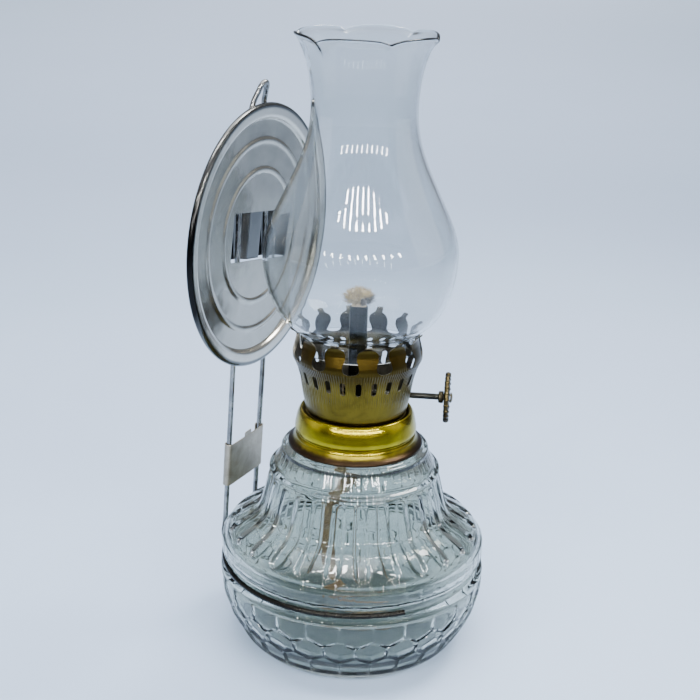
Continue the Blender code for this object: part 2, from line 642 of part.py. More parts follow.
def make_reflector(finish, parent):
    """The tinplate disc: rolled rim, stepped flange, two ridges and a strap that passes behind the wires."""
    place = empty("reflector_slide", Vector((0, DISC_DISTANCE, DISC_HEIGHT)), (DISC_LEAN, 0, 0), parent)
    place = empty("reflector_askew", Vector((0, 0, 0)), (0, DISC_TURN, 0), place)
    ridge, flange, roll_radius = 0.5, 1.9, 1.1
    roll_center = (52.6, flange + 0.4 - roll_radius)
    outline = [(0, 0)]
    for radius in RIDGE_RADII:
        outline += [(radius - 1.4, 0), (radius - 0.5, ridge), (radius + 0.5, ridge), (radius + 1.4, 0)]
    outline += [(47.3, 0), (48.6, flange)]
    outline += arc(roll_center, roll_radius, 90, -140, 7)
    bm = spin_outline(outline, DISC_SEGMENTS, closed=False)
    # spun around Z; its front is turned to face the lamp, along -Y
    bmesh.ops.rotate(bm, cent=(0, 0, 0), matrix=Matrix.Rotation(math.pi / 2, 3, "X"), verts=bm.verts)
    disc = make_object("reflector_disc", bm, finish, place)
    solidify(disc, DISC_SHEET)
    window_x, window_z = WINDOW_HALF
    window = box((-window_x, -2, -window_z), (window_x, 2, window_z))
    boolean(disc, make_object("strap_window_cutter", window, None, place))
    # the strap's course on one side: sunk middle strip, channel behind the wire, lug on the disc
    half_line = [(5.0, STRIP_DEPTH), (6.2, 3.0), (7.4, CHANNEL_DEPTH - 0.4), (8.6, CHANNEL_DEPTH), (15.8, CHANNEL_DEPTH)]
    half_line += [(17.2, CHANNEL_DEPTH - 0.5), (18.6, 2.4), (19.8, 0.6), (20.6, 0), (window_x + 1, 0)]
    strap_line = [(-x, y) for x, y in half_line[::-1]] + half_line
    strap = plate([thick_section(strap_line, DISC_SHEET - 0.1)], STRAP_HALF_HEIGHT * 2)
    bmesh.ops.translate(strap, vec=(0, 0, -STRAP_HALF_HEIGHT), verts=strap.verts)
    boolean(disc, make_object("strap_guide", strap, None, place), "UNION")
    return disc


# ------------------------------------------------------------------ assembly


def main():
    for old in list(bpy.data.objects):
        bpy.data.objects.remove(old, do_unlink=True)
    font_glass = material("font_glass", (0.80, 0.86, 0.84), 0.05, transmission=1.0)
    chimney_glass = material("chimney_glass", (0.86, 0.91, 0.90), 0.03, transmission=1.0)
    gold = material("collar_brass", (0.83, 0.62, 0.10), 0.16, metallic=1.0)
    cup_brass = material("burner_brass", (0.46, 0.36, 0.09), 0.30, metallic=1.0)
    antique = material("knob_brass", (0.36, 0.27, 0.10), 0.38, metallic=1.0)
    steel = material("steel", (0.50, 0.51, 0.52), 0.28, metallic=1.0)
    tin = material("tinplate", (0.70, 0.72, 0.72), 0.18, metallic=1.0)
    dull_tin = material("dull_tin", (0.52, 0.50, 0.45), 0.40, metallic=1.0)
    cement = material("cement", (0.62, 0.60, 0.56), 0.9)
    rubber = material("gasket_rubber", (0.10, 0.10, 0.10), 0.8)
    cotton = material("wick_cotton", (0.60, 0.53, 0.42), 0.95)

    make_font(font_glass)
    make_collar(gold)
    cement_outer = 23.0
    make_ring("collar_cement", NECK_RADIUS + GAP, cement_outer, 88.0, NECK_TOP, cement)

    burner = empty("burner", rotation=(0, 0, KNOB_DIRECTION))
    gasket_low = NECK_TOP + GAP
    gasket_outer = SKIRT_THREAD_RADIUS - GAP
    gasket_top = gasket_low + GASKET_THICKNESS
    make_ring("burner_gasket", NECK_BORE + 0.6, gasket_outer, gasket_low, gasket_top, rubber)
    make_burner_base(cup_brass, burner)
    make_gallery(cup_brass, burner)
    make_wick_tube(steel, burner)
    make_spindle_housing(dull_tin, burner)
    spindle = empty("knob_axis", (0, SHAFT_OFFSET, SHAFT_HEIGHT), parent=burner)
    make_spindle(steel, antique, spindle)
    make_wick(cotton, burner)
    make_chimney(chimney_glass, burner)

    hanger = empty("hanger_axis")
    make_hanger_wire(steel, hanger)
    make_clip_plate(dull_tin, hanger)
    make_reflector(tin, hanger)
    bpy.context.view_layer.update()


main()
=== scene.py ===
"""The looks of the hanging oil lamp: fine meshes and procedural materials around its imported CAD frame."""

import math

import bmesh
import bpy
import numpy as np
from mathutils import Matrix, Vector


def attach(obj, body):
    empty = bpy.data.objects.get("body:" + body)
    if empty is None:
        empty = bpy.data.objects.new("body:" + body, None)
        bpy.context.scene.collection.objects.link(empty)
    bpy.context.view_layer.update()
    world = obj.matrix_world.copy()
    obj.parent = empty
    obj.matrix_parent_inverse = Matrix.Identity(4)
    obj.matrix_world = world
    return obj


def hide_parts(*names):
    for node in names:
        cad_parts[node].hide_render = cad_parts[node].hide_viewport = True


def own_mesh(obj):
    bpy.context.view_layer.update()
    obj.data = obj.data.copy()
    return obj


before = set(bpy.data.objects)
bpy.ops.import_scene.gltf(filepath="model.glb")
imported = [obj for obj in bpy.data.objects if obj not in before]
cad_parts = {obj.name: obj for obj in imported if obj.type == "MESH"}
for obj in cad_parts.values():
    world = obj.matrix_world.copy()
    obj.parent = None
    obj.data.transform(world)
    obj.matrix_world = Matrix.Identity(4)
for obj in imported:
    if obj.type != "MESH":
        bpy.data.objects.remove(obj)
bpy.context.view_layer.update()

MM = 0.001
TAU = math.tau

# The lamp's own directions, in the row frame
KNOB_TURN = math.radians(290)
CAMERA_TURN = math.radians(-64.3)
FACING = math.radians(205.7)  # from the lamp's axis to the camera

# Sizes repeated from the CAD part, in millimetres
GROOVE = (52.6, 34.6, 38.2)
SHOULDER_TOP = 87.1
NECK = (21.3, 17.0, 93.5)
THREAD_PITCH, THREAD_DEPTH = 3.4, 0.35
SHAFT = (4.55, 107.1, 1.25)
TUBE_HALF, TUBE_WALL, TUBE_ENDS = (3.65, 1.65), 0.3, (90.0, 145.5)
WIRE, SPREAD = 1.1, 12.5
WIRE_LEAN, UPPER_LEAN, WIRE_BEND = math.radians(3.3), math.radians(1.7), 115.0
HANGER_AT, HANGER_LEVEL, WIRE_BACK = 55.3, 40.0, 56.3
DISC_PLACE, DISC_LEAN, DISC_TURN = (0.0, 46.5, 167.8), math.radians(0.7), math.radians(9)
CLIP_LOW, CLIP_HEIGHT = 60.0, 19.0


# ------------------------------------------------------------------ material helpers


class Tree:
    """A small helper that adds nodes to one node tree and links them."""

    def __init__(self, owner, coordinates):
        owner.use_nodes = True
        self.tree = owner.node_tree
        self.place = self.add("ShaderNodeTexCoord").outputs[coordinates]

    def add(self, kind, **settings):
        node = self.tree.nodes.new(kind)
        for key, value in settings.items():
            setattr(node, key, value)
        return node

    def link(self, source, target):
        self.tree.links.new(source, target)

    def fill(self, socket, value):
        """Set a socket to a number or a colour, or link it to another socket."""
        if isinstance(value, (int, float)):
            socket.default_value = value
        elif isinstance(value, tuple):
            socket.default_value = (*value, 1.0)
        else:
            self.link(value, socket)

    def axes(self):
        """The X, Y and Z of the place that is shaded."""
        split = self.add("ShaderNodeSeparateXYZ")
        self.link(self.place, split.inputs[0])
        return split.outputs

    def stretched(self, scale):
        """The object's coordinates, scaled by a vector."""
        mapping = self.add("ShaderNodeMapping")
        mapping.inputs["Scale"].default_value = scale
        self.link(self.place, mapping.inputs["Vector"])
        return mapping.outputs["Vector"]

    def noise(self, scale, detail=4.0, roughness=0.6, vector=None, distortion=0.0):
        node = self.add("ShaderNodeTexNoise")
        node.inputs["Scale"].default_value = scale
        node.inputs["Detail"].default_value = detail
        node.inputs["Roughness"].default_value = roughness
        node.inputs["Distortion"].default_value = distortion
        self.link(vector or self.place, node.inputs["Vector"])
        return node.outputs["Fac"]

    def ramp(self, value, stops):
        """A colour ramp; a stop's colour may be one number, for a grey."""
        node = self.add("ShaderNodeValToRGB")
        elements = node.color_ramp.elements
        while len(elements) < len(stops):
            elements.new(0.5)
        for element, (place, color) in zip(elements, stops):
            element.position = place
            element.color = (*color, 1.0) if hasattr(color, "__len__") else (color, color, color, 1.0)
        self.link(value, node.inputs["Fac"])
        return node.outputs["Color"]

    def math(self, operation, *values):
        node = self.add("ShaderNodeMath", operation=operation)
        for socket, value in zip(node.inputs, values):
            self.fill(socket, value)
        return node.outputs[0]

    def mix(self, factor, a, b):
        node = self.add("ShaderNodeMix", data_type="RGBA")
        for socket, value in zip((node.inputs[0], node.inputs[6], node.inputs[7]), (factor, a, b)):
            self.fill(socket, value)
        return node.outputs[2]


class Nodes(Tree):
    """The nodes of one material, round its Principled shader."""

    def __init__(self, name):
        self.material = bpy.data.materials.new(name)
        super().__init__(self.material, "Object")
        self.shader = self.tree.nodes["Principled BSDF"]
        self.output = self.tree.nodes["Material Output"]

    def tinted(self, share, color):
        """Lay a second colour over the base colour, as strongly as share says."""
        clean = self.shader.inputs["Base Color"].links[0].from_socket
        self.set(Base_Color=self.mix(share, clean, color))

    def bump(self, height, distance, strength=1.0):
        node = self.add("ShaderNodeBump")
        node.inputs["Distance"].default_value = distance
        node.inputs["Strength"].default_value = strength
        self.link(height, node.inputs["Height"])
        self.link(node.outputs["Normal"], self.shader.inputs["Normal"])

    def set(self, **values):
        for key, value in values.items():
            self.fill(self.shader.inputs[key.replace("_", " ")], value)


def glass(name, tint, shade, gloss, painted_dim_gloss, roughness, waviness):
    """Clear glass whose shadow stays light, with slow waves and fine dust. Below about 15 cm its reflections
    can be turned down: painted shade for a dark room in front.
    """
    n = Nodes(name)
    slow = n.noise(38.0, detail=2.0)
    dust = n.noise(900.0, detail=5.0, roughness=0.7)
    color = n.ramp(slow, [(0.3, tint), (0.7, tuple(min(1.0, c * 1.02) for c in tint))])
    haze = n.ramp(dust, [(0.52, roughness), (0.80, roughness + 0.05)])
    # Painted shade: the reflections are turned down near the bottom, from 160 mm down to 142 mm.
    gloss_with_painted_dimming = n.ramp(n.math("MULTIPLY", n.axes()["Z"], 5.0), [(0.71, painted_dim_gloss), (0.80, gloss)])
    n.set(Base_Color=color, Roughness=haze, Transmission_Weight=1.0, IOR=1.5, Specular_Tint=gloss_with_painted_dimming)
    n.bump(slow, waviness)
    path = n.add("ShaderNodeLightPath")
    clear = n.add("ShaderNodeBsdfTransparent")
    clear.inputs["Color"].default_value = (*shade, 1.0)
    mixed = n.add("ShaderNodeMixShader")
    n.link(path.outputs["Is Shadow Ray"], mixed.inputs[0])
    n.link(n.shader.outputs[0], mixed.inputs[1])
    n.link(clear.outputs[0], mixed.inputs[2])
    n.link(mixed.outputs[0], n.output.inputs["Surface"])
    return n.material


def metal(name, base, dark, roughness, grain=(1, 1, 1), grain_scale=900.0, spots=0.25, bump=0.00002):
    """Metal with slow tarnish, fine grain along one direction and a little wear."""
    n = Nodes(name)
    slow = n.noise(90.0, detail=5.0, roughness=0.65, distortion=0.4)
    fine = n.noise(grain_scale, detail=4.0, roughness=0.7, vector=n.stretched(grain))
    tone = n.ramp(slow, [(0.35, dark), (0.35 + spots, base)])
    tone = n.mix(n.math("MULTIPLY", fine, 0.25), tone, dark)
    rough = n.math("ADD", n.math("MULTIPLY", slow, 0.12), roughness - 0.06)
    rough = n.math("ADD", n.math("MULTIPLY", fine, 0.10), rough)
    n.set(Base_Color=tone, Metallic=1.0, Roughness=rough)
    n.bump(fine, bump)
    return n


# ---------------------------------------------------------------------- mesh helpers


def link_new(name, data):
    """A new object in the scene, for a mesh, a light or a camera."""
    made = bpy.data.objects.new(name, data)
    bpy.context.scene.collection.objects.link(made)
    return made


def mesh_from(bm, name):
    """The mesh of a bmesh, which is freed."""
    mesh = bpy.data.meshes.new(name)
    bm.to_mesh(mesh)
    bm.free()
    return mesh


def add_object(name, mesh, material, smooth_angle=None):
    """Link a mesh as an object, with its material and its shading."""
    mesh.materials.append(material)
    shade(mesh, smooth_angle)
    return link_new(name, mesh)


def shade(mesh, smooth_angle=None):
    """Smooth shading, with edges sharper than the angle kept."""
    mesh.shade_smooth()
    if smooth_angle:
        mesh.set_sharp_from_angle(angle=math.radians(smooth_angle))


def paint(made, *materials):
    """Give an object these materials in place of its own."""
    made.data.materials.clear()
    for one in materials:
        made.data.materials.append(one)


def move(made, *steps):
    """Transform an object's mesh by matrices, in their order."""
    for step in steps:
        made.data.transform(step)
    return made


def translation(x, y, z):
    """A translation in millimetres."""
    return Matrix.Translation(Vector((x, y, z)) * MM)


def from_grid(name, points, material, wrap_rows=False, wrap_columns=True, smooth_angle=None, keep=None):
    """A mesh from a rows x columns x 3 array in millimetres. keep says which faces stay."""
    rows, columns = points.shape[:2]
    index = np.arange(rows * columns).reshape(rows, columns)
    lower = index if wrap_rows else index[:-1]
    upper = np.roll(index, -1, 0) if wrap_rows else index[1:]
    if wrap_columns:
        quads = np.stack([lower, np.roll(lower, -1, 1), np.roll(upper, -1, 1), upper], -1)
    else:
        quads = np.stack([lower[:, :-1], lower[:, 1:], upper[:, 1:], upper[:, :-1]], -1)
    if keep is not None:
        quads = quads[keep]
    mesh = bpy.data.meshes.new(name)
    mesh.from_pydata((points.reshape(-1, 3) * MM).tolist(), [], quads.reshape(-1, 4).tolist())
    clean(mesh)
    return add_object(name, mesh, material, smooth_angle)


def clean(mesh, distance=1e-6):
    """Merge doubled points, drop loose ones and turn all faces outwards."""
    bm = bmesh.new()
    bm.from_mesh(mesh)
    bmesh.ops.remove_doubles(bm, verts=bm.verts, dist=distance)
    loose = [v for v in bm.verts if not v.link_faces]
    bmesh.ops.delete(bm, geom=loose, context="VERTS")
    bmesh.ops.recalc_face_normals(bm, faces=bm.faces)
    bm.to_mesh(mesh)
    bm.free()


def smooth_line(points, step):
    """A Catmull-Rom curve through the points, sampled about every step."""
    pts = [np.array(p, float) for p in points]
    pts = [2 * pts[0] - pts[1], *pts, 2 * pts[-1] - pts[-2]]
    line = []
    for a, b, c, d in zip(pts, pts[1:], pts[2:], pts[3:]):
        count = max(1, round(np.linalg.norm(c - b) / step))
        for i in range(count):
            t = i / count
            curved = (2 * a - 5 * b + 4 * c - d) * t**2 + (3 * b - a - 3 * c + d) * t**3
            line.append(0.5 * (2 * b + (c - a) * t + curved))
    line.append(pts[-2])
    return np.array(line)


def unit(vectors):
    """Vectors of length 1."""
    return vectors / np.maximum(np.linalg.norm(vectors, axis=-1), 1e-9)[..., None]


def tangents(points):
    """The direction of a line at each of its points."""
    return unit(np.gradient(points, axis=0))


def offset_line(points, distance):
    """A (radius, height) line moved to the left of its direction."""
    along = tangents(points)
    return points + np.stack([-along[:, 1], along[:, 0]], 1) * distance


def polar(radius, angle):
    """A point on a circle round the origin."""
    return radius * math.cos(angle), radius * math.sin(angle)


def arc(center, radius, start, end, count):
    """Points on an arc; the angles are in degrees."""
    angles = np.radians(np.linspace(start, end, count))
    return np.stack([center[0] + radius * np.cos(angles), center[1] + radius * np.sin(angles)], 1)


def turned(outline, columns):
    """The rows x columns radii, heights and angles of a (radius, height) outline spun round Z."""
    outline = np.asarray(outline, float)
    angles = np.linspace(0, TAU, columns, endpoint=False)
    r = outline[:, 0][:, None] * np.ones(columns)
    z = outline[:, 1][:, None] * np.ones(columns)
    return r, z, np.ones(len(outline))[:, None] * angles


def around(r, z, angles):
    """Cylindrical to Cartesian points."""
    return np.stack([r * np.cos(angles), r * np.sin(angles), z], -1)


def lathe(name, outline, columns, material, closed=True, smooth_angle=35):
    """A plain turned piece."""
    points = around(*turned(outline, columns))
    return from_grid(name, points, material, wrap_rows=closed, smooth_angle=smooth_angle)


def smoothstep(low, high, value):
    t = np.clip((value - low) / (high - low), 0, 1)
    return t * t * (3 - 2 * t)


def cut(target, cutter):
    """Cut, apply, and drop the cutter."""
    step = target.modifiers.new("cut", "BOOLEAN")
    step.operation = "DIFFERENCE"
    step.solver = "EXACT"
    step.object = cutter
    apply_modifiers(target)
    bpy.data.objects.remove(cutter)


def apply_modifiers(target):
    """Replace the object's mesh by its evaluated one."""
    bpy.context.view_layer.update()
    evaluated = target.evaluated_get(bpy.context.evaluated_depsgraph_get())
    mesh = bpy.data.meshes.new_from_object(evaluated)
    target.modifiers.clear()
    target.data = mesh


def box_piece(name, low, high, rounding=0.0):
    """A box in millimetres, with its corners rounded across Y if asked."""
    bm = bmesh.new()
    bmesh.ops.create_cube(bm, size=1)
    bmesh.ops.scale(bm, vec=[b - a for a, b in zip(low, high)], verts=bm.verts)
    bmesh.ops.translate(bm, vec=[(a + b) / 2 for a, b in zip(low, high)], verts=bm.verts)
    if rounding:
        edges = [e for e in bm.edges if abs(e.verts[0].co.y - e.verts[1].co.y) > 0.01]
        bmesh.ops.bevel(bm, geom=edges, offset=rounding, segments=5, affect="EDGES", profile=0.5)
    bmesh.ops.scale(bm, vec=(MM, MM, MM), verts=bm.verts)
    return link_new(name, mesh_from(bm, name))


def extruded(name, section, low, high, material):
    """A closed section in XY, extruded along Z, in millimetres."""
    section = np.asarray(section, float)
    bm = bmesh.new()
    lower = [bm.verts.new((x * MM, y * MM, low * MM)) for x, y in section]
    bottom = bm.faces.new(lower)
    grown = bmesh.ops.extrude_face_region(bm, geom=[bottom], use_keep_orig=True)
    lifted = [v for v in grown["geom"] if isinstance(v, bmesh.types.BMVert)]
    bmesh.ops.translate(bm, vec=(0, 0, (high - low) * MM), verts=lifted)
    bmesh.ops.recalc_face_normals(bm, faces=bm.faces)
    return add_object(name, mesh_from(bm, name), material, smooth_angle=30)


def sweep(name, line, section, wide, material, smooth_angle=40):
    """Carry a closed section along a line; wide gives the section's X direction at each point."""
    along = tangents(line)
    wide = unit(wide - along * np.sum(wide * along, 1)[:, None])
    thick = np.cross(along, wide)
    section = section if section.ndim == 3 else np.broadcast_to(section, (len(line), *section.shape))
    points = line[:, None] + section[..., :1] * wide[:, None] + section[..., 1:] * thick[:, None]
    ends = [np.broadcast_to(points[i].mean(0), points[i].shape)[None] for i in (0, -1)]
    points = np.concatenate([ends[0], points, ends[1]])
    return from_grid(name, points, material, smooth_angle=smooth_angle)


def merge(name, pieces):
    """Join several objects into one."""
    bm = bmesh.new()
    materials = []
    for piece in pieces:
        piece.data.transform(piece.matrix_world)
        own = list(piece.data.materials)
        start = len(bm.faces)
        bm.from_mesh(piece.data)
        bm.faces.ensure_lookup_table()
        for one in own:
            if one not in materials:
                materials.append(one)
        for face in bm.faces[start:]:
            face.material_index = materials.index(own[face.material_index])
    for piece in pieces:
        bpy.data.objects.remove(piece)
    made = link_new(name, mesh_from(bm, name))
    for one in materials:
        made.data.materials.append(one)
    return made


def turn_to_burner(piece):
    """From the burner's own frame, whose X is the knob's shaft, to the row frame."""
    return move(piece, Matrix.Rotation(KNOB_TURN, 4, "Z"))


def settle(piece, body, slot, *nodes):
    """A finished piece rides on its body and stands for its CAD nodes, which are hidden; its slot is not
    used.
    """
    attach(piece, body)
    if nodes:
        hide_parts(*nodes)
    return piece


# ------------------------------------------------------------------------- materials

FONT_GLASS = glass("pressed_glass", (0.60, 0.635, 0.575), (0.24, 0.26, 0.27), 0.8, 0.8, 0.015, 0.0003)
CHIMNEY_GLASS = glass("blown_glass", (0.81, 0.825, 0.822), (0.86, 0.88, 0.89), 0.85, 0.3, 0.0, 0.0001)


def make_gold():
    """Lacquered gold, brown and rougher over the flange: partly its dark edge, partly painted shade that dims
    the flange's reflection.
    """
    base, dark, roughness = (0.42, 0.345, 0.016), (0.22, 0.165, 0.008), 0.22
    n = metal("lacquered_gold", base, dark, roughness, grain=(1, 1, 6), spots=0.3, bump=0.000005)
    edge = n.math("ADD", n.axes()["Z"], n.math("MULTIPLY", n.noise(260.0), 0.0010))
    # Brown over the flange: partly its own dark edge, partly painted shade that dims its highlight.
    brown = n.ramp(n.math("MULTIPLY", edge, 10.0), [(0.897, 1.0), (0.906, 0.4), (0.925, 0.25), (0.930, 0.0)])
    n.tinted(brown, (0.032, 0.019, 0.010))
    n.set(Roughness=n.ramp(brown, [(0.0, roughness), (1.0, 0.38)]))
    return n.material


def make_cup_brass():
    """Olive-gold sheet with fine upright ribs, darker brown towards the top of its slotted wall."""
    base, dark = (0.125, 0.092, 0.012), (0.070, 0.049, 0.007)
    n = metal("burner_brass", base, dark, 0.25, grain=(1, 1, 0.12), grain_scale=1500.0)
    axes = n.axes()
    height = n.math("MULTIPLY", axes["Z"], 5.0)
    angle = n.math("ARCTAN2", axes["Y"], axes["X"])
    ribs = n.math("SINE", n.math("MULTIPLY", angle, 150.0))
    ribbed = n.ramp(height, [(0.545, 0.0), (0.560, 1.0), (0.622, 1.0), (0.634, 0.0)])
    n.bump(n.math("MULTIPLY", ribs, ribbed), 0.00009)
    # Darker brown towards the top of the wall, from 117 mm to 123 mm.
    n.tinted(n.ramp(height, [(0.585, 0.0), (0.615, 0.8)]), (0.030, 0.018, 0.004))
    return n.material


def make_wire_steel():
    """Drawn steel wire, darker where it lies in the font's groove and just above it."""
    n = metal("drawn_steel", (0.34, 0.345, 0.34), (0.13, 0.13, 0.13), 0.22, grain=(1, 1, 0.05))
    # Darker below about 45 mm.
    low = n.ramp(n.math("MULTIPLY", n.axes()["Z"], 10.0), [(0.39, 1.0), (0.48, 0.0)])
    n.tinted(low, (0.018, 0.017, 0.015))
    return n.material


GOLD = make_gold()
CUP_BRASS = make_cup_brass()
CUP_INSIDE = metal("bare_sheet", (0.085, 0.08, 0.065), (0.03, 0.027, 0.022), 0.36, grain=(1, 1, 0.2)).material
KNOB_BRASS = metal(
    "antique_brass", (0.13, 0.10, 0.04), (0.016, 0.011, 0.006), 0.24, spots=0.45, bump=0.00006
).material
KNOB_DARK = metal("blackened_brass", (0.10, 0.085, 0.05), (0.02, 0.016, 0.010), 0.40, bump=0.00006).material
STEEL = make_wire_steel()
TUBE_STEEL = metal(
    "tube_steel", (0.03, 0.03, 0.026), (0.012, 0.012, 0.010), 0.24, grain=(1, 1, 0.05)
).material
TIN = metal("clip_tin", (0.52, 0.47, 0.385), (0.27, 0.235, 0.18), 0.36, grain=(0.2, 1, 1), spots=0.4).material


def make_reflector_tin(name, bright, shaded_face_tone, crease):
    """Polished tinplate with shallow dents and blotchy wear. Its face inside the crease is painted darker
    than the flange, and its rolled rim darker still and near black on the left: painted shade and painted
    dark reflection.
    """
    n = Nodes(name)
    slow = n.noise(30.0, detail=3.0)
    blotch = n.noise(120.0, detail=6.0, roughness=0.7)
    fine = n.noise(1600.0, detail=3.0)
    offset = n.add("ShaderNodeVectorMath", operation="DISTANCE")
    n.link(n.place, offset.inputs[0])
    offset.inputs[1].default_value = Vector(DISC_PLACE) * MM
    # Painted shade: inside the crease the face takes the darker tone, beyond it the flange takes the lighter
    # one.
    inner = n.ramp(n.math("MULTIPLY", offset.outputs["Value"], 10.0), [(crease, 0.0), (crease + 0.012, 1.0)])
    worn_shaded_face = n.ramp(blotch, [(0.35, tuple(c * 0.86 for c in shaded_face_tone)), (0.62, shaded_face_tone)])
    rough = n.math("ADD", n.math("MULTIPLY", blotch, 0.14), 0.09)
    rough = n.math("ADD", n.math("MULTIPLY", fine, 0.06), rough)
    # Painted dark reflection: the rolled rim is dark grey, and near black on its left side.
    rolled = n.ramp(n.math("MULTIPLY", offset.outputs["Value"], 10.0), [(0.517, 0.0), (0.523, 1.0)])
    aside = n.math("MULTIPLY", n.axes()["X"], -10.0)
    edge = n.ramp(aside, [(0.44, (0.13, 0.13, 0.125)), (0.50, 0.012)])
    tone = n.mix(rolled, n.mix(inner, worn_shaded_face, bright), edge)
    n.set(Base_Color=tone, Metallic=1.0, Roughness=rough)
    n.bump(slow, 0.0012, 0.6)
    return n.material


def make_wick_cotton():
    """Woven cotton: cream at the top with a charred edge, brown with old oil in the font."""
    n = Nodes("wick_cotton")
    weave = n.add("ShaderNodeTexWave", wave_type="BANDS", bands_direction="Z")
    weave.inputs["Scale"].default_value = 420.0
    weave.inputs["Distortion"].default_value = 1.5
    n.link(n.place, weave.inputs["Vector"])
    blotch = n.noise(160.0, detail=6.0, roughness=0.7)
    level = n.math("ADD", n.axes()["Z"], n.math("MULTIPLY", blotch, 0.012))
    tone = n.ramp(
        n.math("DIVIDE", level, 0.170),
        [
            (0.05, (0.17, 0.10, 0.05)), (0.30, (0.26, 0.185, 0.12)), (0.52, (0.22, 0.165, 0.115)),
            (0.84, (0.48, 0.42, 0.32)),
        ],
    )  # fmt: skip
    fibre = n.noise(2600.0, detail=4.0, vector=n.stretched((1, 1, 0.3)))
    tone = n.mix(n.math("MULTIPLY", fibre, 0.5), tone, (0.26, 0.17, 0.10))
    n.set(Base_Color=tone, Roughness=n.ramp(blotch, [(0.3, 0.75), (0.7, 0.95)]), Sheen_Weight=0.3)
    n.bump(n.math("ADD", weave.outputs["Fac"], n.math("MULTIPLY", fibre, 0.6)), 0.00025)
    return n.material


def make_fibre(name, light, dark):
    """Loose cotton fibres, in two tones."""
    n = Nodes(name)
    blotch = n.noise(500.0, detail=4.0)
    n.set(Base_Color=n.ramp(blotch, [(0.35, dark), (0.65, light)]), Roughness=0.95, Sheen_Weight=0.4)
    n.bump(n.noise(3000.0), 0.0001)
    return n.material


# Painted shade: the face takes the darker second tone, the flange the lighter first one.
REFLECTOR_TIN = make_reflector_tin("reflector_tin", (0.60, 0.57, 0.50), (0.44, 0.42, 0.365), 0.474)
# Painted shade: the strap takes the same tin in a much darker tone, as it lies in shade behind the wires.
SHADED_STRAP_TIN = make_reflector_tin("strap_tin_painted_shade", (0.16, 0.16, 0.155), (0.15, 0.15, 0.145), 0.20)
WICK_COTTON = make_wick_cotton()
FRAY_CREAM = make_fibre("fray_cream", (0.31, 0.235, 0.10), (0.11, 0.08, 0.035))
FRAY_CHAR = make_fibre("fray_char", (0.022, 0.017, 0.012), (0.006, 0.005, 0.004))


def make_plaster():
    n = Nodes("set_plaster")
    blotch = n.noise(300.0, detail=6.0)
    n.set(Base_Color=n.ramp(blotch, [(0.3, (0.50, 0.48, 0.44)), (0.7, (0.68, 0.66, 0.62))]), Roughness=0.92)
    n.bump(blotch, 0.0002)
    return n.material


def make_rubber():
    n = Nodes("gasket_rubber")
    blotch = n.noise(400.0, detail=5.0)
    n.set(Base_Color=n.ramp(blotch, [(0.3, (0.02, 0.02, 0.02)), (0.7, (0.05, 0.05, 0.05))]), Roughness=0.7)
    n.bump(blotch, 0.0001)
    return n.material


# ------------------------------------------------------------------------ glass font

FLUTES = 26
FLUTE_PHASE = math.radians(210.7)
CELL_PHASE = math.radians(208.4)


def cell_relief(r, z, angles):
    """Thumbprint cells in three staggered rows, as a depth in millimetres."""
    pitch = TAU / FLUTES
    rows = ((27.0, 0.0, 5.4), (18.2, 0.5, 5.2), (10.0, 0.0, 4.8))
    distances = []
    for level, shift, half in rows:
        delta = (angles - CELL_PHASE - shift * pitch + pitch / 2) % pitch - pitch / 2
        for side in (delta, pitch - np.abs(delta)):
            across = side * r / (pitch * 52 / 2)
            up = (z - level) / half
            distances.append(np.hypot(across, up))
    distances = np.sort(np.array(distances), 0)
    gap = distances[1] - distances[0]
    bowl = smoothstep(0.03, 0.24, gap)
    fade = smoothstep(4.4, 6.0, z) * (1 - smoothstep(31.2, 32.6, z))
    return fade * bowl * (0.75 + 0.25 * np.clip(1 - distances[0], 0, 1))


def flute_relief(r, z, angles):
    """Round-ended flutes down the shoulder, as a depth in millimetres."""
    pitch = TAU / FLUTES
    delta = (angles - FLUTE_PHASE + pitch / 2) % pitch - pitch / 2
    across = np.abs(delta) * r
    half = 3.1 - 0.6 * smoothstep(55, 75, z)
    low, high = 49.4, 74.6
    end_low = np.clip((low + 2.6 - z) / 2.6, 0, 1)
    end_high = np.clip((z - (high - 1.6)) / 1.6, 0, 1)
    reach = np.hypot(across / half, np.maximum(end_low, end_high))
    inside = (z > low) & (z < high)
    return np.where(inside, 1 - smoothstep(0.66, 1.0, reach), 0.0)


def tick_relief(z, angles, low, high, count):
    """A band of short upright nicks."""
    pitch = TAU / count
    delta = np.abs((angles + pitch / 2) % pitch - pitch / 2) / pitch
    band = smoothstep(low, low + 0.5, z) * (1 - smoothstep(high - 0.5, high, z))
    return band * (1 - smoothstep(0.0, 0.13, delta))


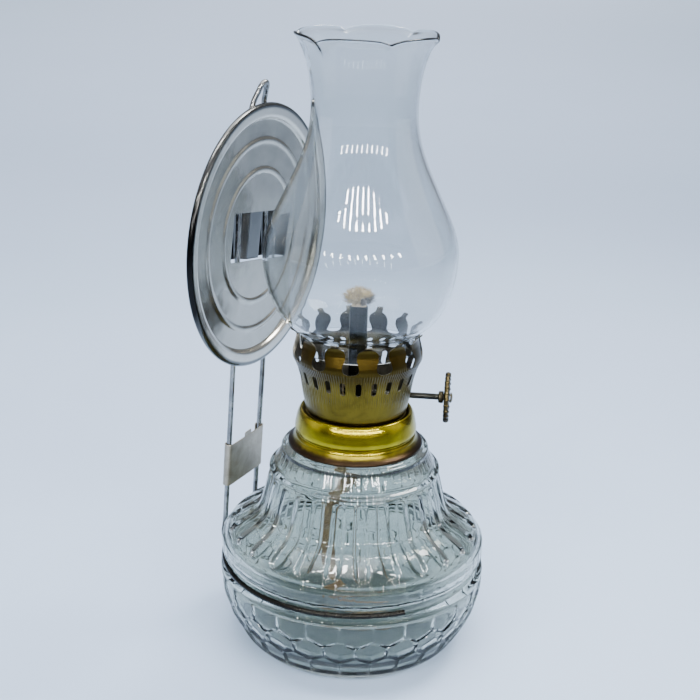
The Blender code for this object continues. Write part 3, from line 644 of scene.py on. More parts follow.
def make_font():
    stretches = [
        [(0, 0), (39.6, 0)],
        [(40.0, 0.05), (42.0, 0.45), (44.6, 2.6), (46.8, 5.4), (50.2, 11.2), (53.3, 18.0), (55.1, 26.0),
         (55.5, 31.5)],
        [(55.5, 32.0), (55.3, 33.2), (54.4, 34.1), (52.9, GROOVE[1] + 0.1)],
        [(GROOVE[0] - 0.1, GROOVE[1] + 0.6), (GROOVE[0] - 0.1, GROOVE[2] - 0.5)],
        [(53.0, GROOVE[2] + 0.05), (54.1, 38.9), (54.7, 39.8)],
        [(54.2, 40.6), (54.75, 41.4), (54.8, 45.2), (54.5, 46.0)],
        [(53.6, 46.6), (53.3, 47.2), (52.6, 48.8), (50.0, 51.2), (46.0, 53.8), (42.4, 56.0), (39.7, 58.6),
         (38.1, 62.4), (36.9, 67.2), (35.9, 71.2), (34.9, 74.6)],
        [(34.5, 75.4), (35.2, 76.0), (35.1, 77.0), (33.6, 77.8)],
        [(32.6, 79.2), (32.3, 80.0), (31.9, 80.8), (30.2, 84.6)],
        [(30.4, 85.4), (29.9, 86.2), (28.4, 86.7), (27.6, SHOULDER_TOP)],
        [(24.0, SHOULDER_TOP), (NECK[0], SHOULDER_TOP)],
        [(NECK[0], 90.0), (NECK[0], NECK[2])],
    ]  # fmt: skip
    outside = np.concatenate([smooth_line(s, 0.45) for s in stretches])
    outside[:, 0] = np.minimum(outside[:, 0], 55.55)
    inner = [
        (NECK[1], NECK[2]), (NECK[1], 86.5), (20.0, 84.6), (25.5, 80.6), (29.6, 76.0), (31.8, 71.0),
        (33.6, 64.0), (35.4, 58.8), (39.0, 54.4), (44.5, 51.2), (49.4, 47.4), (51.3, 43.2), (50.6, 39.4),
        (49.5, 36.2), (50.6, 32.4), (51.6, 27.5), (50.6, 20.5), (47.6, 13.8), (43.0, 8.0),
        (37.0, 4.9), (24.0, 4.1), (0, 4.0),
    ]  # fmt: skip
    inside = smooth_line(inner, 1.2)
    outline = np.concatenate([outside, inside])
    columns = FLUTES * 18
    r, z, angles = turned(outline, columns)
    along = tangents(outline)
    depth = 1.15 * cell_relief(r, z, angles) + 1.15 * flute_relief(r, z, angles)
    depth += 0.24 * tick_relief(z, angles, 41.4, 45.6, FLUTES * 2)
    depth += 0.14 * tick_relief(z, angles, 80.2, 84.6, FLUTES * 2)
    depth += 0.05 * (1 + np.sin(3 * angles + z * 0.21) * np.sin(5 * angles - z * 0.13))
    depth[len(outside):] = 0.0
    depth[outline[:, 1] < 0.02] = 0.0
    depth[(outline[:, 1] > GROOVE[1]) & (outline[:, 1] < GROOVE[2])] = 0.0
    depth[(outline[:, 1] > 86.4)] = 0.0
    normal_r, normal_z = along[:, 1][:, None], -along[:, 0][:, None]
    points = around(r - depth * normal_r, z - depth * normal_z, angles)
    font = from_grid("font_glass", points, FONT_GLASS, smooth_angle=60)
    return settle(font, "font", "font_glass", "font")


# ----------------------------------------------------------------- collar and skirt


def thread_wave(z, angles):
    return THREAD_DEPTH * np.cos(TAU * z / THREAD_PITCH - angles)


def make_collar():
    skirt = [(27.6, 87.4), (27.75, 87.9), (27.3, 88.5), (26.4, 89.0), (25.6, 89.6), (25.1, 90.4)]
    wall = smooth_line(skirt, 0.25)
    bead = smooth_line([(24.9, 90.7), (24.8, 91.2), (24.5, 91.8), (24.05, 92.2)], 0.2)
    body = smooth_line(
        [(24.0, 92.5), (24.5, 92.9), (24.85, 93.8), (24.9, 94.9), (24.68, 96.3), (24.42, 97.7), (24.1, 99.1),
         (23.6, 100.6), (22.9, 101.8), (22.2, 102.2), (21.5, 101.6)], 0.3)  # fmt: skip
    wall[:, 0] = np.minimum(wall[:, 0], 27.6)
    low, high = 94.4, 101.2
    thread = np.stack([np.full(40, 21.0), np.linspace(high, low, 40)], 1)
    back = np.array([(22.0, low), (22.0, high - 0.6)])
    shell = np.concatenate([wall, bead, body])
    lining = offset_line(shell, 0.6)[:-6][::-1]
    lining[:, 1] = np.maximum(lining[:, 1], 87.4)
    outline = np.concatenate([shell, thread, back, lining])
    r, z, angles = turned(outline, 180)
    wavy = (np.abs(r - 21.0) < 0.01) & (z > low - 0.01) & (z < high + 0.01)
    r += np.where(wavy, thread_wave(z, angles), 0)
    collar = from_grid("collar_shell", around(r, z, angles), GOLD, wrap_rows=True, smooth_angle=40)
    return settle(collar, "font", "collar_brass", "collar")


def make_burner_base():
    top, low = 101.6, 95.3
    skirt = np.stack([np.full(40, 20.5), np.linspace(low, top - 0.9, 40)], 1)
    rim = smooth_line([(20.55, top - 0.6), (20.5, top - 0.2), (20.2, top), (19.4, top)], 0.2)
    floor = np.array([(0, top), (0, top - 0.8)])
    bore = np.array([(18.9, top - 0.8), (19.5, top - 1.4), (19.5, low)])
    outline = np.concatenate([skirt, rim, floor, bore])
    r, z, angles = turned(outline, 144)
    wavy = (np.abs(r - 20.5) < 0.01) & (z < top - 0.85)
    r += np.where(wavy, thread_wave(z, angles), 0)
    base = from_grid("burner_skirt", around(r, z, angles), CUP_BRASS, wrap_rows=True, smooth_angle=40)
    cut(base, turn_to_burner(box_piece("slot", (-4.05, -2.05, top - 4), (4.05, 2.05, top + 2))))
    paint(base, CUP_BRASS)
    return settle(base, "burner", "burner_brass", "burner_base")


# ----------------------------------------------------------------------- the gallery

PRONGS = 12
HALF_SECTOR = 15.0  # degrees
SLOT_LEVELS = (115.6, 121.4)
# Height and half width in degrees, up one prong
PRONG_COURSE = [
    (125.2, 15.0), (125.3, 12.6), (125.6, 10.6), (126.1, 9.0), (126.8, 8.0), (127.6, 7.7), (128.4, 7.8),
    (129.4, 8.4), (130.6, 9.4), (131.8, 9.9), (132.9, 9.8), (133.8, 9.0), (134.5, 7.6), (135.0, 5.6),
    (135.3, 3.9), (135.7, 3.2), (136.3, 3.1), (136.7, 2.7),
]  # fmt: skip

# Height and outer radius, up the stamped cup and its prongs
CUP_COURSE = [
    (101.9, 19.9), (102.3, 20.5), (102.9, 20.75), (104.6, 21.0), (105.0, 21.15), (110.0, 22.0),
    (116.3, 23.05), (120.8, 24.35), (123.2, 25.35), (124.9, 26.15), (126.4, 26.25), (127.6, 26.1),
    (129.5, 25.6), (132.0, 24.9), (134.0, 24.65), (135.4, 24.95), (136.7, 25.7),
]  # fmt: skip


def cup_radius(z):
    return np.interp(z, *zip(*CUP_COURSE))


def gallery_rows():
    """The heights and angles of one twelfth of the cup, and which of its faces aren't slots."""
    bottom, top = SLOT_LEVELS
    parts = (4, 3, 8, 3, 4)
    wall_rows = np.concatenate([
        [101.9, 101.95, 102.05, 102.25, 102.6, 103.0, 103.7, 104.4, 104.7, 104.9, 105.2],
        np.linspace(106, 115.2, 16), np.linspace(bottom, top, 13),
        [121.75, 122.2, 122.7, 123.4, 124.1, 124.6, 124.9, 125.15],
    ])  # fmt: skip
    rows = []
    for z in wall_rows:
        away = abs(z - (bottom + top) / 2) - ((top - bottom) / 2 - 0.8)
        if away <= 0.8:
            half = 2.7 * math.sqrt(max(0.09, 1 - max(away, 0) ** 2 / 0.64))
        else:
            half = min(2.8, 0.81 + (away - 0.8) * 0.8)
        marks = [-HALF_SECTOR, -7.5 - half, -7.5 + half, 7.5 - half, 7.5 + half, HALF_SECTOR]
        line = [np.linspace(a, b, n, endpoint=False) for a, b, n in zip(marks, marks[1:], parts)]
        rows.append((z, np.append(np.concatenate(line), HALF_SECTOR)))
    columns = sum(parts)
    rows += [(z, np.linspace(-half, half, columns + 1)) for z, half in smooth_line(PRONG_COURSE, 0.35)[1:]]
    keep = np.ones((len(rows) - 1, columns), bool)
    slots = np.r_[parts[0]:sum(parts[:2]), sum(parts[:3]):sum(parts[:4])]
    for i, (z, _) in enumerate(rows[:-1]):
        if bottom - 0.01 <= z < top - 0.01:
            keep[i, slots] = False
    return rows, keep


def make_gallery():
    """One stamped sheet: flange, slotted wall and twelve prongs, gold outside and bare inside."""
    rows, keep = gallery_rows()
    pieces = []
    for k, (lean, curl, twist) in enumerate(random_numbers(7, PRONGS, 3)):
        middle = 2 * HALF_SECTOR * (k + 0.5)
        points = []
        for z, degrees in rows:
            rise = max(0.0, z - 127.5) / 9
            bend = 0.35 * (lean - 0.3) * rise + (0.4 + 1.0 * curl) * max(0.0, (z - 134.8) / 1.9) ** 2
            dip = 0.25 * rise * np.cos(degrees / HALF_SECTOR * math.pi / 2) * (z > 127.5)
            rib = 0.07 * np.cos(6 * np.radians(degrees) * PRONGS) * (107 < z < 115.3)
            turn = np.radians(middle + degrees + 1.2 * (twist - 0.5) * rise)
            points.append(around(cup_radius(z) + bend + rib + dip * 0.4, np.full(len(turn), z), turn))
        sector = from_grid(f"sector_{k}", np.array(points), CUP_BRASS, wrap_columns=False, keep=keep)
        pieces.append(sector)
    flange = [(18.2, 101.9), (19.0, 101.9), (19.9, 101.9)]
    pieces.append(lathe("flange", flange, 264, CUP_BRASS, closed=False))
    gallery = merge("gallery_cup", pieces)
    clean(gallery.data, distance=3e-5)
    face_outwards(gallery.data)
    gallery.data.materials.append(CUP_INSIDE)
    sheet = gallery.modifiers.new("sheet", "SOLIDIFY")
    sheet.thickness = 0.42 * MM
    sheet.offset = -1.0
    sheet.material_offset = 1
    sheet.material_offset_rim = 1
    apply_modifiers(gallery)
    shade(gallery.data, 45)
    cut(gallery, shaft_cutter(15, 27))
    turn_to_burner(gallery)
    return settle(gallery, "burner", "burner_brass", "gallery")


def face_outwards(mesh):
    """Turn an open sheet's faces away from the Z axis."""
    bm = bmesh.new()
    bm.from_mesh(mesh)
    bmesh.ops.recalc_face_normals(bm, faces=bm.faces)
    wall = [f for f in bm.faces if abs(f.normal.z) < 0.7]
    facing = sum(f.normal.x * f.calc_center_median().x + f.normal.y * f.calc_center_median().y for f in wall)
    if facing < 0:
        bmesh.ops.reverse_faces(bm, faces=bm.faces)
    bm.to_mesh(mesh)
    bm.free()


def random_numbers(seed, *shape):
    return np.random.default_rng(seed).random(shape)


def shaft_cutter(start, end):
    """A round cutter along the shaft, in the burner's frame."""
    ring = arc((0, 0), SHAFT[2] + 0.35, 0, 360, 25)[:-1]
    cutter = extruded("shaft_cut", ring, start, end, CUP_BRASS)
    return move(cutter, Matrix.Rotation(math.pi / 2, 4, "Y"), translation(0, *SHAFT[:2]))


# --------------------------------------------------------- wick tube, spindle, knob


def stadium(half_x, half_y):
    """A section with two round ends."""
    straight = half_x - half_y
    right = arc((straight, 0), half_y, -90, 90, 10)
    return np.concatenate([right, arc((-straight, 0), half_y, 90, 270, 10)])


def make_wick_tube():
    """The seamed flat tube with its sprocket slots."""
    outer, inner = stadium(*TUBE_HALF), stadium(*[h - TUBE_WALL for h in TUBE_HALF])
    low, high = TUBE_ENDS
    levels = [
        (outer, low + 0.1, 1), (outer, low, 0.985), (inner, low, 1), (inner, high - 0.05, 1),
        (inner, high, 1.01), (outer, high, 0.985), (outer, high - 0.12, 1),
    ]  # fmt: skip
    levels += [(outer, z, 1) for z in np.linspace(high - 4, low + 3, 12)]
    points = np.array([np.column_stack([loop * scale, np.full(len(loop), z)]) for loop, z, scale in levels])
    tube = from_grid("wick_tube_sheet", points, TUBE_STEEL, wrap_rows=True, smooth_angle=35)
    for place in (-1.9, 1.9):
        low_corner = (place - 0.75, TUBE_HALF[1] - 0.8, SHAFT[1] - 2.1)
        high_corner = (place + 0.75, TUBE_HALF[1] + 0.6, SHAFT[1] + 2.1)
        cut(tube, box_piece("tooth_slot", low_corner, high_corner, rounding=0.3))
    seam = box_piece("seam", (-0.12, -TUBE_HALF[1] - 0.3, low - 1), (0.12, -TUBE_HALF[1] + 0.12, high + 1))
    cut(tube, seam)
    paint(tube, TUBE_STEEL)
    turn_to_burner(tube)
    return settle(tube, "burner", "tube_steel", "wick_tube")


def lay_on_shaft(piece, start=0.0):
    """From a piece made along Z to one along the shaft, in the row frame."""
    move(piece, Matrix.Rotation(math.pi / 2, 4, "Y"), translation(start, *SHAFT[:2]))
    return turn_to_burner(piece)


def make_shaft_and_hub():
    radius, near, far = SHAFT[2], -7.0, 37.7
    outline = [(0, near), (radius - 0.3, near), (radius, near + 0.3), (radius, 33.0), (radius, far), (0, far)]
    shaft = lay_on_shaft(lathe("wick_shaft_rod", outline, 40, TUBE_STEEL, closed=False))
    settle(shaft, "spindle", "tube_steel", "wick_shaft")
    hub_line = [(1.55, 33.2), (2.1, 33.2), (2.45, 33.5), (2.5, 34.0), (2.5, 34.9), (2.3, 35.2), (1.55, 35.2)]
    hub = lay_on_shaft(lathe("knob_hub_ring", hub_line, 40, KNOB_DARK))
    settle(hub, "spindle", "tube_steel", "knob_hub")
    head = [(0, 38.0), (1.9, 38.0), (2.15, 38.15), (2.1, 38.4), (1.6, 38.75), (0.8, 38.95), (0, 39.0)]
    rivet = lay_on_shaft(lathe("knob_rivet_head", head, 32, KNOB_DARK, closed=False))
    settle(rivet, "spindle", "knob_brass", "knob_rivet")


def ring_tube(path, radius, flat):
    """Points of a closed flattened tube round a closed path in the XY plane."""
    along = unit(np.roll(path, -1, 0) - np.roll(path, 1, 0))
    out = np.stack([along[:, 1], -along[:, 0]], 1)
    sides = 12
    points = np.zeros((len(path), sides, 3))
    for j, a in enumerate(np.linspace(0, TAU, sides, endpoint=False)):
        points[:, j, :2] = path + out * radius * math.cos(a)
        points[:, j, 2] = radius * flat * math.sin(a)
    return points


def make_knob_wheel():
    """A cast filigree wheel: beaded rim, looped petals and a boss, domed on its outer face."""
    pieces = []
    around_rim = np.linspace(0, TAU, 144, endpoint=False)
    rim = np.stack([np.cos(around_rim), np.sin(around_rim)], 1) * 9.3
    pieces.append(from_grid("rim", ring_tube(rim, 0.85, 1.15), KNOB_BRASS, wrap_rows=True))
    beads = 24
    for i in range(beads):
        pieces.append(bead(f"bead_{i}", (*polar(9.55, TAU * i / beads), 0.1), (0.88, 0.88, 1.2)))
    t = np.linspace(0, TAU, 48, endpoint=False)
    loop = np.stack([5.75 + 2.75 * np.cos(t), 1.75 * np.sin(t) * (1 + 0.35 * np.cos(t))], 1)
    bar = np.array([(0, -0.8), (0.5, -0.4), (0.5, 0.4), (0, 0.8), (-0.5, 0.4), (-0.5, -0.4)])
    petals = 6
    for i in range(petals):
        c, s = polar(1, TAU * (i + 0.5) / petals)
        path = loop @ np.array([(c, s), (-s, c)])
        pieces.append(from_grid(f"petal_{i}", ring_tube(path, 0.42, 1.7), KNOB_BRASS, wrap_rows=True))
        c, s = polar(1, TAU * i / petals)
        line = np.array([(r * c, r * s, 0) for r in np.linspace(2.6, 8.8, 8)])
        wide = np.broadcast_to([-s, c, 0.0], line.shape)
        pieces.append(sweep(f"spoke_{i}", line, bar, wide, KNOB_BRASS))
        pieces.append(bead(f"knot_{i}", (6.4 * c, 6.4 * s, 0), (0.9, 0.9, 0.95)))
    boss = [(1.55, -1.05), (3.0, -1.05), (3.4, -0.6), (3.3, 0.2), (2.8, 0.8), (2.2, 1.05), (1.55, 1.05)]
    pieces.append(lathe("boss", boss, 40, KNOB_BRASS))
    wheel = merge("knob_wheel_cast", pieces)
    wheel.data.shade_smooth()
    lay_on_shaft(wheel, start=36.6)
    return settle(wheel, "spindle", "knob_brass", "knob_wheel")


def bead(name, center, size):
    """A small rounded bead."""
    bm = bmesh.new()
    bmesh.ops.create_icosphere(bm, subdivisions=2, radius=1)
    bmesh.ops.scale(bm, vec=size, verts=bm.verts)
    bmesh.ops.translate(bm, vec=center, verts=bm.verts)
    bmesh.ops.scale(bm, vec=(MM, MM, MM), verts=bm.verts)
    return add_object(name, mesh_from(bm, name), KNOB_BRASS)


# ---------------------------------------------------------------------------- wick


def make_wick():
    """The woven tape with selvedges, straight through the burner and loose in the font."""
    low_straight = TUBE_ENDS[0] - 4.5
    straight = [(0, 0, 152.0), (0, 0, 130), (0, 0, 108), (0, 0, low_straight)]
    tail = [
        (-0.8, 0, 80), (-4.6, -0.4, 70), (-8.4, -0.8, 59), (-9.9, -1.0, 46), (-9.7, -1.4, 33),
        (-6.8, -3.8, 22.5), (-0.4, -8.4, 16.8), (8.6, -13.2, 16.0), (16.4, -16.6, 17.2),
    ]  # fmt: skip
    line = np.concatenate([smooth_line(straight, 0.8)[:-1], smooth_line([straight[-1], *tail], 0.8)])
    turn = np.radians(35) * np.clip((low_straight - line[:, 2]) / 30, 0, 1)
    wide = np.stack([np.cos(turn), np.sin(turn), np.zeros(len(line))], 1)
    half_x, half_y, threads = 2.95, 0.85, 7
    count = 72
    t = np.linspace(0, TAU, count, endpoint=False)
    across = np.sign(np.cos(t)) * np.abs(np.cos(t)) ** 0.6 * half_x
    body = np.sign(np.sin(t)) * np.abs(np.sin(t)) ** 0.45 * half_y
    sections = []
    for i in range(len(line)):
        weave = 1 + 0.10 * np.cos(across / half_x * math.pi * threads) * (1 if i % 2 else -1)
        pinch = 1 + 0.015 * math.sin(i * 1.7)
        sections.append(np.stack([across * pinch, body * weave], 1))
    tape = sweep("tape", line, np.array(sections), wide, WICK_COTTON, smooth_angle=None)
    turn_to_burner(tape)
    make_fray()
    return settle(tape, "wick", "wick_cotton", "wick")


def make_fray():
    """The tuft in two shares, each merged into its own piece on the wick."""
    strands = {(share, tone): [] for share in ("broad", "side") for tone in ("light", "burnt")}
    for a, b, c, d, e, f in random_numbers(21, 900, 6):
        rise = math.acos(1 - 1.75 * b)
        reach = 0.55 + 0.45 * math.sqrt(c)
        outwards = Vector((*polar(math.sin(rise), TAU * a), math.cos(rise)))
        root = Vector((outwards.x * 2.7, outwards.y * 1.4, 148.2 + 1.2 * outwards.z))
        tip = Vector((outwards.x * 7.4 * reach, outwards.y * 3.9 * reach, 149.4 + 4.3 * outwards.z * reach))
        tip += Vector((d - 0.5, e - 0.5, 0.6 * (f - 0.5))) * 1.6
        tip.z = min(tip.z, 153.8)
        middle = (root + tip) / 2 + Vector((e - 0.5, f - 0.5, d - 0.5)) * 1.8
        share, axis, most = ("side", 1, 0.9) if abs(tip.x) > 2.8 else ("broad", 0, 2.9)
        for point in (root, middle, tip):
            point[axis] = max(-most, min(most, point[axis]))
        tone = "burnt" if tip.x > 0.9 and tip.z < 150.4 and tip.y < 1.5 else "light"
        strands[share, tone].append([root, middle, tip])
    broad = [
        lump("head", (0, 0, 149.2), (2.6, 2.3, 2.7), FRAY_CREAM, 5),
        lump("burnt", (1.6, -1.5, 147.6), (1.4, 1.5, 1.45), FRAY_CHAR, 6),
    ]
    side = [
        lump("width", (0, 0, 149.3), (4.7, 0.75, 2.1), FRAY_CREAM, 7),
        lump("corner", (3.3, -0.2, 147.9), (1.5, 0.7, 1.1), FRAY_CHAR, 8),
    ]
    squeezed = (("broad", broad, (0, 1, 0), 0.24), ("side", side, (1, 0, 0), 0.35))
    for share, pieces, direction, keep in squeezed:
        for tone, material in (("light", FRAY_CREAM), ("burnt", FRAY_CHAR)):
            pieces.append(fibres(f"{share}_{tone}", strands[share, tone], material))
        tuft = merge(f"wick_fray_{share}", pieces)
        tuft.data.shade_smooth()
        turn_to_burner(tuft)
        settle(tuft, "wick", "wick_cotton")
        axis = Matrix.Rotation(KNOB_TURN, 3, "Z") @ Vector(direction)
        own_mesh(tuft)


def lump(name, center, size, material, seed):
    """A small uneven rounded lump, in millimetres."""
    bm = bmesh.new()
    bmesh.ops.create_icosphere(bm, subdivisions=4, radius=1)
    px, py, pz = random_numbers(seed, 3) * 10
    for v in bm.verts:
        x, y, z = v.co
        rough = 0
        for k in (1, 2.3):
            rough += math.sin(k * x * 5 + px) * math.sin(k * y * 4 + py) * math.cos(k * z * 6 + pz)
        v.co = Vector([(c * s * (1 + 0.09 * rough) + m) * MM for c, s, m in zip(v.co, size, center)])
    return add_object(name, mesh_from(bm, name), material)


def fibres(name, strands, material):
    """Thin four-sided threads through their points."""
    verts, faces = [], []
    for strand in strands:
        start = len(verts)
        for point, radius in zip(strand, (0.22, 0.16, 0.06)):
            for j in range(4):
                x, y = polar(radius, TAU * j / 4)
                verts.append(((point.x + x) * MM, (point.y + y) * MM, point.z * MM))
        for low in (start, start + 4):
            for j in range(4):
                k = (j + 1) % 4
                faces.append((low + j, low + k, low + 4 + k, low + 4 + j))
        faces.append((start + 3, start + 2, start + 1, start))
        faces.append(tuple(range(start + 8, start + 12)))
    mesh = bpy.data.meshes.new(name)
    mesh.from_pydata(verts, [], faces)
    return add_object(name, mesh, material)


# -------------------------------------------------------------------------- chimney

CRIMP_DIRECTION = math.radians(44.3)
CRIMPS = 6
LIP_FOOT, CHIMNEY_TOP = 243.0, 252.0


def make_chimney():
    """The blown chimney with its crimped mouth; its wall is thinner at the foot and towards the mouth, and a
    little thicker at the very lip.
    """
    course = [
        (23.3, 128.7), (23.4, 130.5), (23.4, 133.2), (23.75, 135.0), (24.9, 136.8), (27.5, 138.7),
        (30.7, 141.6), (33.6, 146.0), (36.3, 152.6), (38.1, 160.5), (38.55, 168.0), (37.3, 175.4),
        (34.3, 183.0), (29.7, 192.6), (25.3, 202.4), (22.3, 211.0), (20.8, 219.0), (20.6, 227.0),
        (21.5, 236.0), (23.2, 243.2), (25.2, 248.2), (27.4, 251.6),
    ]  # fmt: skip
    outside = smooth_line(course, 0.8)
    wall = np.full(len(outside), 1.25)
    wall[:6] = np.linspace(1.0, 1.25, 6)
    wall[-14:] = np.linspace(1.25, 0.9, 14)
    wall[-4:] += np.array([0.04, 0.12, 0.2, 0.25])
    along = tangents(outside)
    inside = offset_line(outside, wall[:, None])
    middle, half = (outside[-1] + inside[-1]) / 2, (inside[-1] - outside[-1]) / 2
    round_lip = np.linspace(0, math.pi, 9)[1:-1]
    lip = [middle - half * math.cos(t) + along[-1] * 0.5 * math.sin(t) for t in round_lip]
    foot = (outside[0] + inside[0]) / 2 - along[0] * 0.1
    outline = np.concatenate([outside, lip, inside[::-1], [foot]])
    r, z, angles = turned(outline, 360)
    spacing = TAU / CRIMPS
    number = np.floor(((angles - CRIMP_DIRECTION + spacing / 2) % TAU) / spacing).astype(int) % CRIMPS
    delta = (angles - CRIMP_DIRECTION + spacing / 2) % spacing - spacing / 2
    share = np.clip((z - LIP_FOOT) / (CHIMNEY_TOP - LIP_FOOT), 0, 1)
    # How far each crimp was pushed down, and how far it was pulled outwards
    drop = np.array([2.1, 1.9, 2.0, 1.7, 2.1, 2.0])[number]
    pull = np.array([0.2, 0.9, 0.9, 0.4, 0.3, 0.9])[number]
    notch = np.exp(-np.abs(delta) / math.radians(7.5)) - 0.06
    lobe = np.cos(delta / spacing * TAU) * 0.5 - 0.5
    r = r + (pull * notch - 0.35 * lobe - 0.35) * share**1.6
    z = z - (drop * notch) * share**2.2
    chimney = from_grid("chimney_glass", around(r, z, angles), CHIMNEY_GLASS, wrap_rows=True, smooth_angle=70)
    return settle(chimney, "chimney", "chimney_glass", "chimney")


# ------------------------------------------------------------- hanger and reflector


def on_hanger(x, height):
    """A point among the wires at a height above the table: they lean forwards, less so above their bend."""
    low = min(height, WIRE_BEND) - HANGER_LEVEL
    high = max(height - WIRE_BEND, 0.0)
    return (x, HANGER_AT - low * math.tan(WIRE_LEAN) - high * math.tan(UPPER_LEAN), height)


def hanger_side(side):
    """Half of the hanger's wire: from its end in the groove up to the top of the hook."""
    ring, level = 54.0, 36.4
    points = [(*polar(ring, a), level) for a in np.radians(np.linspace(228.7, 111, 40))]
    for radius, degrees, height in ((54.7, 108.6, 36.4), (56.0, 106.0, 36.7), (56.8, 103.9, 38.3)):
        points.append((*polar(radius, math.radians(degrees)), height))
    course = [(SPREAD + 0.3, 41.0), (SPREAD, 46.0), (SPREAD, 80.0), (SPREAD, WIRE_BEND)]
    course += [(11.3, 153.0), (10.1, 192.0)]
    points += [on_hanger(-x, height) for x, height in course]
    points = [np.array((-side * x, y, z)) for x, y, z in points]
    hook = [
        (204.0, 48.2, 8.3, 0.5), (213.0, 47.85, 6.3, 1.0), (221.0, 47.5, 4.5, 1.7), (224.4, 46.6, 3.7, 2.0),
    ]  # fmt: skip
    points += [np.array((aside + side * half, distance, height)) for height, distance, half, aside in hook]
    for degrees in range(0, 91, 15):
        across, rise = polar(2.7, math.radians(degrees))
        points.append(np.array((2.0 + side * across, 45.6 - rise * math.tan(math.radians(20)), 227.0 + rise)))
    return points


def make_hanger_wire():
    """One bent wire: a half ring in the groove on each side, two uprights and a hook."""
    line = smooth_line(hanger_side(-1) + hanger_side(1)[-2::-1], 0.9)
    section = arc((0, 0), WIRE, 0, 360, 19)[:-1]
    ways = transported(line, np.array([1.0, 1.0, 0.0]))
    wire = sweep("hanger_wire_rod", line, section, ways, STEEL, smooth_angle=50)
    for v in wire.data.vertices:
        v.co.y = min(v.co.y, WIRE_BACK * MM)
    return settle(wire, "hanger", "wire_steel", "hanger_wire")


def transported(line, start):
    """A direction carried along a line without twist."""
    here = unit(start)
    carried = []
    for direction in tangents(line):
        here = unit(here - direction * np.dot(here, direction))
        carried.append(here)
    return np.array(carried)


def thick_section(line, thickness):
    """The outline of a bent sheet whose middle is a line."""
    return np.concatenate([offset_line(line, thickness / 2), offset_line(line, -thickness / 2)[::-1]])


def make_clip_plate():
    """The tin clip, its side edges rolled round the wires, with a small tab."""
    roll = WIRE + 0.3 + 0.25
    right = arc((SPREAD, 0), roll, -90, 150, 25)
    flat = np.stack([np.linspace(-SPREAD + 0.6, SPREAD - 0.6, 25), np.full(25, -roll)], 1)
    flat[:, 1] -= 0.12 * np.sin(np.linspace(0, math.pi, 25))
    left = right[::-1] * (-1, 1)
    line = np.concatenate([left, flat, right])
    plate = extruded("plate", thick_section(line, 0.45), 0, CLIP_HEIGHT, TIN)
    low_corner, high_corner = (-2.6, -roll - 0.28, CLIP_HEIGHT - 1), (2.6, -roll + 0.02, CLIP_HEIGHT + 2)
    tab = box_piece("tab", low_corner, high_corner, rounding=0.6)
    paint(tab, TIN)
    clip = merge("hanger_clip_sheet", [plate, tab])
    shade(clip.data, 30)
    bevel_edges(clip, 0.08)
    move(clip, Matrix.Rotation(WIRE_LEAN, 4, "X"), translation(*on_hanger(0, CLIP_LOW)))
    return settle(clip, "hanger", "dull_tin", "hanger_clip_plate")


def bevel_edges(piece, width):
    """Soften an object's hard edges."""
    step = piece.modifiers.new("soften", "BEVEL")
    step.width = width * MM
    step.segments = 2
    step.limit_method = "ANGLE"
    step.angle_limit = math.radians(50)
    apply_modifiers(piece)


def make_reflector():
    """The spun disc with rolled rim, step and ridges, and the strap that passes behind the wires."""
    flange, roll = 1.9, 1.1
    across_ridge = [(-2.6, 0), (-1.3, 0.08), (-0.6, 0.4), (0, 0.5), (0.6, 0.4), (1.3, 0.08), (2.6, 0)]
    profile = [(0, 0), (12, 0.02)]
    for ridge in (27.0, 38.8):
        profile += [(ridge + x, y) for x, y in across_ridge]
    profile += [(46.3, 0), (47.2, 0.16), (47.8, 0.8), (48.3, 1.6), (49.0, 1.9), (50.6, 2.05)]
    rolled = arc((52.6, flange + 0.4 - roll), roll, 90, -140, 16)
    profile = np.concatenate([smooth_line(profile, 0.45), rolled])
    disc = lathe("reflector_sheet", profile, 220, REFLECTOR_TIN, closed=False, smooth_angle=None)
    move(disc, Matrix.Rotation(math.pi / 2, 4, "X"))
    sheet = disc.modifiers.new("sheet", "SOLIDIFY")
    sheet.thickness = 0.42 * MM
    sheet.offset = 0.0
    apply_modifiers(disc)
    cut(disc, box_piece("window", (-20.8, -2, -9.9), (20.8, 2, 9.9), rounding=1.8))
    depth = 4.75
    right = [
        (0, 2.0), (4.4, 2.0), (5.1, 2.25), (5.9, 3.0), (6.9, 4.2), (7.7, 4.62), (8.7, depth), (15.5, depth),
        (16.6, 4.55), (17.4, 4.0), (18.3, 2.6), (19.3, 0.9), (20.0, 0.25), (20.8, 0), (21.6, 0),
    ]  # fmt: skip
    right = smooth_line(right, 0.4)
    line = np.concatenate([right[:0:-1] * (-1, 1), right])
    # The strap takes the tin with painted shade.
    strap = extruded("strap", thick_section(line, 0.36), -9.7, 9.7, SHADED_STRAP_TIN)
    paint(disc, REFLECTOR_TIN)
    disc = merge("reflector_sheet", [disc, strap])
    shade(disc.data, 32)
    set_in = Matrix.Rotation(DISC_LEAN, 4, "X") @ Matrix.Rotation(DISC_TURN, 4, "Y")
    move(disc, set_in, translation(*DISC_PLACE))
    return settle(disc, "reflector", "tinplate", "reflector_disc")


# ------------------------------------------------------------------ stage and lights


def make_floor():
    """A large pale floor."""
    bm = bmesh.new()
    bmesh.ops.create_circle(bm, cap_ends=True, radius=6.0, segments=96)
    n = Nodes("floor_paper")
    slow = n.noise(3.0, detail=2.0)
    away = n.add("ShaderNodeVectorMath", operation="LENGTH")
    n.link(n.place, away.inputs[0])
    near = n.ramp(slow, [(0.3, (0.41, 0.53, 0.73)), (0.7, (0.44, 0.56, 0.76))])
    far = n.ramp(n.math("MULTIPLY", away.outputs["Value"], 0.25), [(0.05, 0.0), (0.8, 1.0)])
    n.set(Base_Color=n.mix(far, near, (0.66, 0.79, 1.0)), Roughness=0.6)
    n.bump(n.noise(900.0), 0.00005)
    floor = add_object("floor", mesh_from(bm, "floor"), n.material)
    floor.location.z = -0.0004


